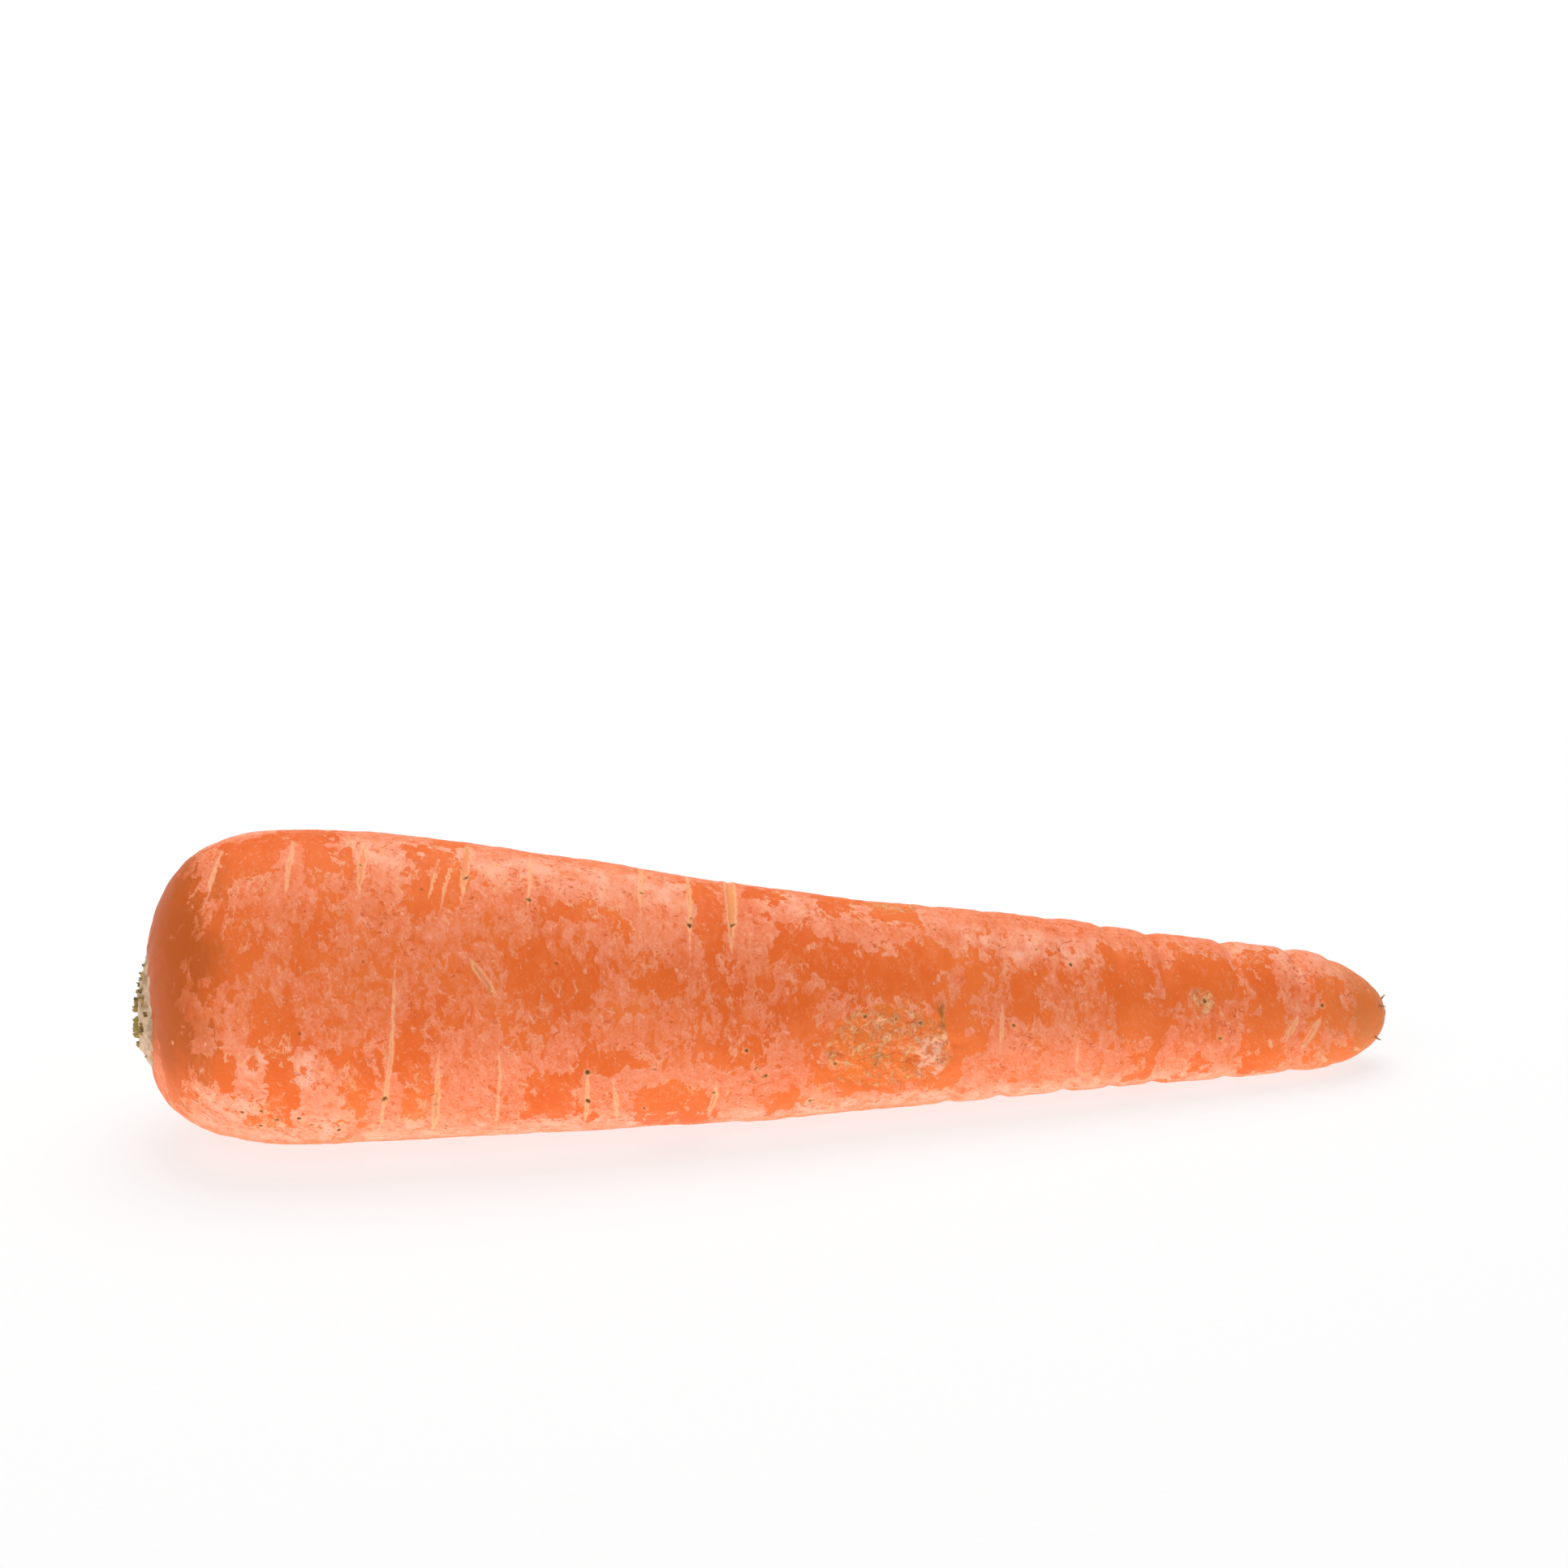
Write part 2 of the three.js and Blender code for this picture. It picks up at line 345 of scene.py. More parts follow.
def root_outline():
    """Half outline from the middle of the crown to the end of the tail: radii and distances."""
    crown_radius = np.linspace(0, CROWN_SCAR_RADIUS, RINGS["crown"] + 1)
    crown = mound(crown_radius)
    crown[1:-1] = np.convolve(crown, np.array([0.25, 0.5, 0.25]), mode="valid")

    ease = even_steps(0, 1, RINGS["dome"])
    dome = CROWN_RIM + (SHOULDER_DISTANCE - CROWN_RIM) * (0.35 * ease + 0.65 * ease ** 2)
    shoulder = body_radius(SHOULDER_DISTANCE)
    dome_radius = shoulder * rounding(1 - dome / SHOULDER_DISTANCE, SHOULDER_ROUNDNESS)

    cap_start = ROOT_LENGTH - TIP_CAP_LENGTH
    body = even_steps(SHOULDER_DISTANCE, cap_start, RINGS["body"])
    turn = even_steps(0, pi / 2, RINGS["cap"])[:-1]
    cap = cap_start + TIP_CAP_LENGTH * np.sin(turn)
    cap_radius = body_radius(cap) * rounding(np.sin(turn), TIP_ROUNDNESS)
    keep = cap_radius > 1.8 * TAIL_RADIUS
    cap, cap_radius = cap[keep], cap_radius[keep]
    fade = even_steps(0, 1, RINGS["tail"])
    rise = TAIL_SHOWN * TAIL_LENGTH + TAIL_ROOTING
    tail = ROOT_LENGTH - TAIL_ROOTING + rise * np.sin(fade * pi / 2) ** 1.5
    tail_radius = 1.1 * TAIL_RADIUS * np.sqrt(np.maximum(0, 1 - fade ** 2))

    radius = np.concatenate((crown_radius, dome_radius, body_radius(body), cap_radius, tail_radius))
    distance = np.concatenate((crown, dome, body, cap, tail))
    return radius, distance


def root_offset():
    """Moves the root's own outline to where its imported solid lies, in millimetres."""
    low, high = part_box("carrot_root")
    places = np.linspace(0, ROOT_LENGTH, 1500)
    radius = body_radius(places) * rounding(1 - places / SHOULDER_DISTANCE, SHOULDER_ROUNDNESS)
    side_low = (middle_line(places) - radius).min()
    side_high = (middle_line(places) + radius).max()
    x = high.x / MM - (ROOT_LENGTH + TAIL_LENGTH)
    y = (low.y + high.y) / (2 * MM) - (side_low + side_high) / 2
    return np.array([x, y, 0.0])


def middle_point(distance):
    """Points of the bowed middle line, in millimetres, in the row frame."""
    distance = np.asarray(distance, float)
    along = np.clip(distance, 0, ROOT_LENGTH)
    sag = CROWN_SAG * np.exp(-(distance + CROWN_RISE) / CROWN_SAG_REACH)
    points = np.stack((distance, middle_line(along), body_radius(along) - RESTING_SINK - sag), -1)
    return points + root_offset()


def skin_point(distance, turn, radius):
    """Points round the middle line: turn in degrees, 0 at the top and 90 towards -Y."""
    angle = np.radians(turn)
    zero = np.zeros_like(angle)
    return middle_point(distance) + np.stack((zero, -radius * np.sin(angle), radius * np.cos(angle)), -1)


# ---------------------------------------------------------------- fields over the skin

def turn_between(turn, centre):
    """The difference between two turns, -180 to 180 degrees."""
    return (turn - centre + 180) % 360 - 180


def smooth_step(low, high, value):
    share = np.clip((value - low) / (high - low), 0, 1)
    return share * share * (3 - 2 * share)


def fractal(points, size, octaves, seed=0):
    """Fractal noise, about -1 to 1, at points in millimetres with features of this size."""
    shift = Vector((seed * 17.3, seed * 5.1, seed * 9.7))
    flat = (points / size).reshape(-1, 3)
    values = [noise.fractal(Vector(p) + shift, 1.0, 2.0, octaves) for p in flat]
    return np.array(values).reshape(points.shape[:-1])


class Skin:
    """The grid of skin points and the fields that are painted on it."""

    def __init__(self, distance, turn, radius):
        self.distance, self.turn, self.radius = distance, turn, radius
        self.points = skin_point(distance, turn, radius)
        self.height = np.zeros_like(distance)
        self.fields = {}

    def field(self, name):
        return self.fields.setdefault(name, np.zeros_like(self.distance))

    def raise_field(self, name, value):
        self.fields[name] = np.maximum(self.field(name), value)

    def around(self, centre):
        """Distance round the skin from a turn, in millimetres."""
        return np.radians(turn_between(self.turn, centre)) * np.maximum(self.radius, NARROWEST)

    def nearest_marks(self, kind, marks, reach):
        """Stores, at each point, its place in the frame of the nearest mark: two coordinates that are
        0 at the mark's middle and 1 at its edge, and the mark's size. The material draws the mark from
        them. FAR is stored where no mark is near and where the nearest mark changes."""
        places = np.array([self.mark_place(mark) for mark in marks])
        owner = places[:, 3].argmin(0)
        across, along, size, away = np.take_along_axis(places, owner[None, None], 0)[0]
        changes = np.zeros(owner.shape, bool)
        for axis in (0, 1):
            for step in (-1, 1):
                changes |= np.roll(owner, step, axis) != owner
        out = changes | (away > reach)
        self.fields[kind + "_across"] = np.where(out, FAR, np.clip(across, -2 * FAR, 2 * FAR))
        self.fields[kind + "_along"] = np.where(out, np.copysign(FAR, along), along)
        self.fields[kind + "_size"] = size

    def mark_place(self, mark):
        """(across, along, size, distance from its edge) of every point in a scar's or a spot's frame."""
        size = mark[-1]
        if len(mark) == 3:
            distance, turn, _ = mark
            across, along = (self.distance - distance) / size, self.around(turn) / size
            away = (np.hypot(across, along) - 1) * size
        else:
            d0, t0, d1, t1, _ = mark
            half_turn = abs(t1 - t0) / 2
            along = turn_between(self.turn, (t0 + t1) / 2) / half_turn
            across = (self.distance - (d0 + d1) / 2 - (d1 - d0) / 2 * along * np.sign(t1 - t0)) / size
            half_length = np.radians(half_turn) * np.maximum(self.radius, NARROWEST)
            away = np.maximum((np.abs(across) - 1) * size, (np.abs(along) - 1) * half_length)
        return across, along, np.full_like(across, size), away


def outside_stretch(skin, stretch):
    """How far every point is outside a stretch of skin, in millimetres; inside it is below 0."""
    start, end, low, high = stretch
    along = np.abs(skin.distance - (start + end) / 2) - (end - start) / 2
    half_round = np.radians(high - low) / 2 * np.maximum(skin.radius, NARROWEST)
    around = np.abs(skin.around((low + high) / 2)) - half_round
    return np.maximum(along, around)


def wear_off(skin, patches):
    """Wandering blots where the film is gone; their ragged edges come from the skin's material."""
    wander = WEAR_WANDER * fractal(skin.points * np.array(BANDING), WEAR_SIZE, 3, seed=6)
    for patch in patches:
        skin.raise_field("worn", smooth_step(2.6, -2.2, outside_stretch(skin, patch) + wander))


def hidden_patches(random):
    low, high = HIDDEN_TURNS
    patches = []
    for _ in range(HIDDEN_PATCHES):
        start, turn = random.uniform(6, 186), random.uniform(low, high)
        length, spread = random.uniform(4, 13), random.uniform(12, 42)
        patches.append((start, start + length, turn - spread / 2, turn + spread / 2))
    return patches


def hidden_scars(random):
    """Side-root scars of the two rows on the far side and underneath."""
    scars = []
    for row in HIDDEN_SCAR_ROWS:
        distance = random.uniform(12, 20)
        while distance < 186:
            turn, half = row + random.uniform(-14, 14), random.uniform(3, 17)
            lean = random.uniform(-1.2, 0.6)
            width = random.uniform(0.35, 0.85)
            scars.append((distance, turn - half, distance + lean, turn + half, width))
            distance += random.uniform(4, 24)
    return scars


def hidden_spots(random):
    low, high = HIDDEN_TURNS
    return [
        (random.uniform(8, 190), random.uniform(low, high), random.uniform(0.3, 0.8))
        for _ in range(HIDDEN_SPOTS)
    ]


def blot(skin, name, fade, stretches):
    """Raises a field softly over stretches of skin: fully, or by the share that a stretch ends with."""
    for start, end, low, high, *share in stretches:
        soft = smooth_step(fade, -fade, outside_stretch(skin, (start, end, low, high)))
        skin.raise_field(name, soft * (share[0] if share else 1.0))


def carve_scar(skin, scar, depth):
    """A lens-shaped slit with low lips."""
    across, share, _, _ = skin.mark_place(scar)
    half_width = scar[-1]
    across = np.abs(across) * half_width
    width = half_width * np.maximum(1 - share ** 2, 0) + 1e-6
    inside = np.abs(share) < 1
    groove = np.where(inside, smooth_step(1.0, 0.0, across / width), 0)
    lips = np.where(inside, np.exp(-((across - 1.5 * width) / (0.7 * width + 0.1)) ** 2), 0)
    strength = np.clip(half_width / 0.8, 0.4, 1.0) * depth
    skin.height -= strength * groove * smooth_step(0.0, 0.4, width)
    skin.height += SCAR_LIP * strength * lips * smooth_step(0.05, 0.4, width)


def sink_spot(skin, spot, depth):
    across, along, _, _ = skin.mark_place(spot)
    skin.height -= depth * 0.5 * np.exp(-across ** 2 - along ** 2)


def roughen_wound(skin, wound, crumble, depth):
    """A healed wound: sunken and crumbled inside, with a low raised edge."""
    distance, turn, half_length, half_turn = wound
    around = turn_between(skin.turn, turn) / half_turn
    away = np.hypot((skin.distance - distance) / half_length, around)
    inside = smooth_step(1.15, 0.75, away + 0.22 * crumble)
    skin.raise_field("wound", smooth_step(1.35, 0.45, away))
    skin.height += inside * (depth * crumble - 0.5 * depth)
    skin.height += 0.3 * depth * np.exp(-((away - 1.05) / 0.1) ** 2)


def constrict(skin, constriction, depth, waver):
    distance, share, half_width = constriction
    line = distance + 1.1 * waver
    strength = share * depth * np.clip(0.75 + 0.8 * waver, 0.15, 1.3)
    across = (skin.distance - line) / half_width
    skin.height -= strength * np.exp(-across ** 2)


def wrinkle_crown(skin):
    """Radial pleats and a crumbly rim where the leaf bases joined the root."""
    near = smooth_step(7.5, 0.4, skin.distance) * smooth_step(3.0, 7.5, skin.radius)
    pleats = np.sin(np.radians(skin.turn) * CROWN_PLEATS + 1.7 * np.sin(np.radians(skin.turn) * 5))
    skin.height += PLEAT_HEIGHT * near * pleats * smooth_step(18, 9, skin.radius)
    rim = np.exp(-((skin.radius - RIM_RADIUS) / RIM_WIDTH) ** 2) * (skin.distance < CROWN_FACE_DEPTH)
    crumbs = fractal(skin.points, CRUMB_SIZE, 3, seed=4)
    skin.height += rim * (0.35 * crumbs - 0.12)
    skin.height += 0.3 * crumbs * (skin.distance < 0.6) * smooth_step(9.0, 7.5, skin.radius)
    # The crown field browns the shoulder: partly real browning, partly painted shade where the shoulder
    # faces away from the light. It is halved underneath.
    below = smooth_step(80, 130, np.abs(turn_between(skin.turn, 0)))
    skin.fields["crown"] = smooth_step(21.0, 2.0, skin.distance) * (1 - 0.5 * below)
    face = (skin.distance < CROWN_FACE_DEPTH) * (skin.radius < FACE_RADIUS)
    skin.fields["face"] = face * smooth_step(10.6, 8.4, skin.radius + 1.4 * crumbs)


def root_skin(settings):
    """The skin's grid with every mark carved into it."""
    radius, distance = root_outline()
    turn = np.arange(SECTORS) * 360 / SECTORS
    inset = np.minimum(SKIN_INSET, 0.1 * radius)
    skin = Skin(*np.broadcast_arrays(distance[:, None], turn[None, :], (radius - inset)[:, None]))
    random = np.random.default_rng(settings.seed)
    mm = 1 / MM

    squeezed = skin.points * np.array([2.6, 1.0, 1.0])
    lumps = fractal(skin.points, LUMP_SIZE, 3, seed=1)
    wrinkles = fractal(squeezed, WRINKLE_SIZE, 4, seed=2)
    crumble = fractal(skin.points, CRUMBLE_SIZE, 4, seed=3)
    waver = fractal(skin.points * np.array([0.4, 1.0, 1.0]), WAVER_SIZE, 2, seed=5)
    ends = smooth_step(0, 6, skin.radius)
    skin.height += settings.lump_height * mm * ends * lumps
    skin.height += settings.wrinkle_height * mm * ends * wrinkles

    wear_off(skin, WORN_PATCHES + hidden_patches(random))
    scars = SCARS + hidden_scars(random)
    spots = SPOTS + hidden_spots(random)
    skin.nearest_marks("scar", scars, SCAR_REACH)
    skin.nearest_marks("spot", spots, SPOT_REACH)
    for scar in scars:
        carve_scar(skin, scar, settings.scar_depth * mm)
    for spot in spots:
        sink_spot(skin, spot, settings.scar_depth * mm)
    for name, (fade, stretches) in BLOTS.items():
        blot(skin, name, fade, stretches)
    for constriction in CONSTRICTIONS:
        constrict(skin, constriction, settings.constriction_depth * mm, waver)
    for wound in WOUNDS:
        roughen_wound(skin, wound, crumble, settings.wound_depth * mm)
    wrinkle_crown(skin)
    skin.fields["tip"] = smooth_step(178, 198, skin.distance + 6 * lumps)
    skin.fields["tail"] = smooth_step(197.0, 198.2, skin.distance + 0.4 * crumble)
    skin.height += 0.12 * smooth_step(186, 197, skin.distance) * crumble * ends
    skin.height *= smooth_step(0.0, 2.0, skin.radius)
    return skin


def grid_normals(points):
    """Outward unit normals of a grid of rings."""
    around = np.roll(points, -1, axis=1) - np.roll(points, 1, axis=1)
    along = np.gradient(points, axis=0)
    normal = np.cross(around, along)
    return normal / np.maximum(np.linalg.norm(normal, axis=-1, keepdims=True), 1e-9)


def mesh_from_rings(name, rings, fields):
    """A closed mesh from rings of points in metres; the first and last ring are drawn in to a point."""
    count, sectors = rings.shape[:2]
    inner = rings[1:-1].reshape(-1, 3)
    vertices = np.concatenate((rings[0].mean(0)[None], inner, rings[-1].mean(0)[None]))
    j = np.arange(sectors)
    k = (j + 1) % sectors
    start = 1 + sectors * np.arange(count - 3)[:, None]
    quads = np.stack((start + j, start + k, start + sectors + k, start + sectors + j), -1).reshape(-1, 4)
    last = len(vertices) - 1
    final_ring = last - sectors
    fans = [(0, 1 + int(b), 1 + int(a)) for a, b in zip(j, k)]
    fans += [(last, final_ring + int(a), final_ring + int(b)) for a, b in zip(j, k)]
    mesh = bpy.data.meshes.new(name)
    mesh.from_pydata(vertices.tolist(), [], quads.tolist() + fans)
    for key, value in fields.items():
        flat = np.concatenate((value[0].mean()[None], value[1:-1].reshape(-1), value[-1].mean()[None]))
        layer = mesh.attributes.new(key, "FLOAT", "POINT")
        layer.data.foreach_set("value", flat.astype(np.float32))
    turn_faces_out(mesh)
    mesh.shade_smooth()
    return mesh


def turn_faces_out(mesh):
    """Flips the faces if the mesh's signed volume says that they face in."""
    mesh.calc_loop_triangles()
    corner = np.array([t.vertices[:] for t in mesh.loop_triangles])
    place = np.array([v.co[:] for v in mesh.vertices])
    a, b, c = place[corner[:, 0]], place[corner[:, 1]], place[corner[:, 2]]
    if np.einsum("ij,ij->", a, np.cross(b, c)) < 0:
        mesh.flip_normals()


def keep_inside(points, low, high):
    """Draws points back into a box by no more than each one stands out."""
    return np.minimum(np.maximum(points, np.array(low)), np.array(high))


def add_piece(name, mesh, material, slot_name, *nodes):
    """Puts a mesh in the scene, gives it its finish and hides the solids it stands for."""
    piece = bpy.data.objects.new(name, mesh)
    bpy.context.scene.collection.objects.link(piece)
    mesh.materials.append(material)
    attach(piece, "root")
    if nodes:
        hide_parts(*nodes)
    return piece


# ---------------------------------------------------------------- shader tools

def node(tree, kind, inputs=None, **settings):
    """Adds a node, with values or links for its inputs by name or number."""
    made = tree.nodes.new(kind)
    for key, value in settings.items():
        setattr(made, key, value)
    fill_inputs(tree, made, inputs or {})
    return made


def fill_inputs(tree, made, inputs):
    """Gives a node's inputs, by name or number, their values or links."""
    for key, value in inputs.items():
        socket = made.inputs[key]
        if isinstance(value, bpy.types.NodeSocket):
            tree.links.new(value, socket)
        elif socket.type == "RGBA":
            socket.default_value = (*value[:3], 1.0)
        else:
            socket.default_value = value


def maths(tree, operation, first, second=0.0, third=0.0):
    made = node(tree, "ShaderNodeMath", {0: first, 1: second, 2: third}, operation=operation)
    return made.outputs[0]


def times(tree, first, second):
    return maths(tree, "MULTIPLY", first, second)


def swing(tree, noise_source, amount, base):
    """The base, raised and lowered by this much of a noise whose middle is at 0.5."""
    return maths(tree, "MULTIPLY_ADD", maths(tree, "SUBTRACT", noise_source, 0.5), amount, base)


def ramp(tree, value, low, high, to_low=0.0, to_high=1.0):
    """A smooth step from to_low to to_high as the value goes from low to high."""
    inputs = {"Value": value, "From Min": low, "From Max": high, "To Min": to_low, "To Max": to_high}
    return node(tree, "ShaderNodeMapRange", inputs, interpolation_type="SMOOTHSTEP").outputs["Result"]


def blend_colour(tree, share, first, second):
    """The first colour with this share of the second one over it."""
    inputs = {"Factor": share, MIX_FIRST: first, MIX_SECOND: second}
    return node(tree, "ShaderNodeMix", inputs, data_type="RGBA").outputs[MIX_RESULT]


def noise_value(tree, vector, scale, detail=2.0, roughness=0.5, distortion=0.0):
    inputs = {"Vector": vector, "Scale": scale, "Detail": detail}
    inputs.update({"Roughness": roughness, "Distortion": distortion})
    return node(tree, "ShaderNodeTexNoise", inputs).outputs["Fac"]


def stretched(tree, vector, scale, offset=(0, 0, 0)):
    inputs = {"Vector": vector, "Scale": scale, "Location": offset}
    return node(tree, "ShaderNodeMapping", inputs).outputs[0]


def attribute(tree, name):
    return node(tree, "ShaderNodeAttribute", attribute_name=name).outputs["Fac"]


def shared_group(title, inputs, outputs):
    """Turns a function that fills in a shader group into one that adds the group to a tree and hands
    out its outputs. The group is built once. An input without a default value is a vector."""
    def build(fill):
        group = bpy.data.node_groups.new(title, "ShaderNodeTree")
        for name, value in inputs.items():
            kind = "NodeSocketVector" if value is None else "NodeSocketFloat"
            socket = group.interface.new_socket(name, in_out="INPUT", socket_type=kind)
            if value is not None:
                socket.default_value = value
        for name in outputs:
            group.interface.new_socket(name, in_out="OUTPUT", socket_type="NodeSocketFloat")
        given = group.nodes.new("NodeGroupInput").outputs
        made = fill(group, *(given[name] for name in inputs))
        node(group, "NodeGroupOutput", dict(zip(outputs, made)))
        return group

    def adopt(fill):
        def use(tree, **given):
            group = bpy.data.node_groups.get(title) or build(fill)
            made = node(tree, "ShaderNodeGroup", given, node_tree=group).outputs
            return [made[name] for name in outputs] if len(outputs) > 1 else made[0]
        return use
    return adopt


@shared_group(
    "Squiggles", {"Vector": None, "Scale": 300.0, "Thickness": 0.02, "Sparseness": 0.55}, ["Mask"])
def squiggles(group, vector, scale, thickness, sparseness):
    """Fine curly threads, sparse and broken: torn edges, dried hairs, crinkles."""
    wander = noise_value(group, vector, scale, 3.0, 0.55, 1.2)
    line = maths(group, "ABSOLUTE", maths(group, "SUBTRACT", wander, 0.5))
    thread = maths(group, "SUBTRACT", 1.0, ramp(group, line, 0.0, thickness))
    where = noise_value(group, vector, times(group, scale, 0.37), 2.0, 0.6)
    near = ramp(group, maths(group, "SUBTRACT", where, sparseness), 0.0, 0.05)
    return [times(group, thread, near)]


@shared_group("Specks", {"Vector": None, "Scale": 300.0, "Size": 0.2, "Kept": 0.2}, ["Mask"])
def specks(group, vector, scale, size, kept):
    """Small round specks, of which only some are kept."""
    bent = noise_value(group, vector, times(group, scale, 2.3), 2.0, 0.6)
    cells = node(group, "ShaderNodeTexVoronoi", {"Vector": vector, "Scale": scale})
    reach = maths(group, "MULTIPLY_ADD", bent, 0.35, cells.outputs["Distance"])
    size = maths(group, "ADD", size, 0.17)
    disc = maths(group, "SUBTRACT", 1.0, ramp(group, maths(group, "SUBTRACT", reach, size), -0.04, 0.04))
    lot = node(group, "ShaderNodeSeparateColor", {0: cells.outputs["Color"]}).outputs[0]
    return [times(group, disc, maths(group, "LESS_THAN", lot, kept))]


@shared_group("Dry Grain", {"Vector": None, "Scale": 200.0}, ["Mottle", "Grain"])
def dry_grain(group, vector, scale):
    """Colour and height variation of dry plant skin, from coarse mottling to fine grain."""
    mottle = noise_value(group, vector, scale, 5.0, 0.6, 0.3)
    return [mottle, noise_value(group, vector, times(group, scale, 7.0), 3.0, 0.65)]


@shared_group("Crinkles", {"Vector": None, "Scale": 400.0}, ["Lit", "Shaded"])
def crinkles(group, vector, scale):
    """The lit and the shaded flanks of fine crinkles, as light from one side would show them."""
    shape = (scale, 4.0, 0.6, 0.15)
    here = noise_value(group, vector, *shape)
    beside = noise_value(group, stretched(group, vector, (1, 1, 1), CRINKLE_STEP), *shape)
    slope = maths(group, "SUBTRACT", here, beside)
    return [ramp(group, slope, 0.025, 0.09), ramp(group, slope, -0.025, -0.09)]


@shared_group(
    "Torn Film", {"Vector": None, "Worn": 0.0, "Thin": 0.0, "Scale": 120.0, "Raggedness": 0.5},
    ["Film", "Rim", "Edge"])
def torn_film(group, vector, worn, thin, scale, raggedness):
    """A dry film that has flaked off: its cover, its torn rim and how near a torn edge is."""
    coarse = noise_value(group, vector, scale, 3.0, 0.6, 0.4)
    fine = noise_value(group, vector, times(group, scale, 4.0), 5.0, 0.62, 0.3)
    fine = times(group, maths(group, "SUBTRACT", fine, 0.5), raggedness)
    coast = swing(group, coarse, 0.7, fine)
    hold = maths(group, "MULTIPLY_ADD", thin, -0.17, 0.40)
    push = times(group, maths(group, "SUBTRACT", 0.47, worn), hold)
    level = maths(group, "ADD", coast, maths(group, "MULTIPLY_ADD", thin, -0.03, push))
    film = ramp(group, level, -FILM_EDGE, FILM_EDGE)
    band = maths(group, "ABSOLUTE", maths(group, "SUBTRACT", level, FILM_EDGE))
    patchy = ramp(group, noise_value(group, vector, times(group, scale, 4.0), 3.0), 0.46, 0.66)
    rim = times(group, ramp(group, band, 0.05, 0.01), patchy)
    return [film, rim, ramp(group, maths(group, "ABSOLUTE", level), 0.16, 0.04)]


@shared_group(
    "Lens Mark",
    {"Vector": None, "Across": 0.0, "Along": FAR, "Size": 0.5, "Wander": 0.3, "Roundness": 0.0},
    ["Inside"])
def lens_mark(group, vector, across, along, size, wander, roundness):
    """Draws a lens or a disc from the coordinates that the mesh stores: how far inside its edge a
    point is, in millimetres, with an edge that wanders."""
    along = times(group, along, along)
    bend = maths(group, "SUBTRACT", noise_value(group, vector, FINENESS["bends"], 2.0), 0.5)
    bend = maths(group, "DIVIDE", times(group, bend, LENS_BEND), size)
    across = maths(group, "ABSOLUTE", maths(group, "ADD", across, bend))
    disc = maths(group, "SQRT", maths(group, "ADD", along, times(group, across, across)))
    lens = maths(group, "ADD", along, across)
    reach = maths(group, "ADD", times(group, disc, roundness),
                  times(group, lens, maths(group, "SUBTRACT", 1.0, roundness)))
    depth = times(group, maths(group, "SUBTRACT", 1.0, reach), size)
    edge = noise_value(group, vector, FINENESS["mark_edges"], 4.0, 0.65)
    return [swing(group, edge, wander, depth)]


def new_material(name):
    material = bpy.data.materials.new(name)
    material.use_nodes = True
    tree = material.node_tree
    tree.nodes.clear()
    output = node(tree, "ShaderNodeOutputMaterial")
    shader = node(tree, "ShaderNodeBsdfPrincipled")
    tree.links.new(shader.outputs[0], output.inputs["Surface"])
    coordinates = node(tree, "ShaderNodeTexCoord").outputs["Object"]
    return material, tree, shader, coordinates


def bump(tree, height, distance, strength=1.0, normal=None):
    inputs = {"Height": height, "Distance": distance, "Strength": strength}
    if normal is not None:
        inputs["Normal"] = normal
    return node(tree, "ShaderNodeBump", inputs).outputs["Normal"]


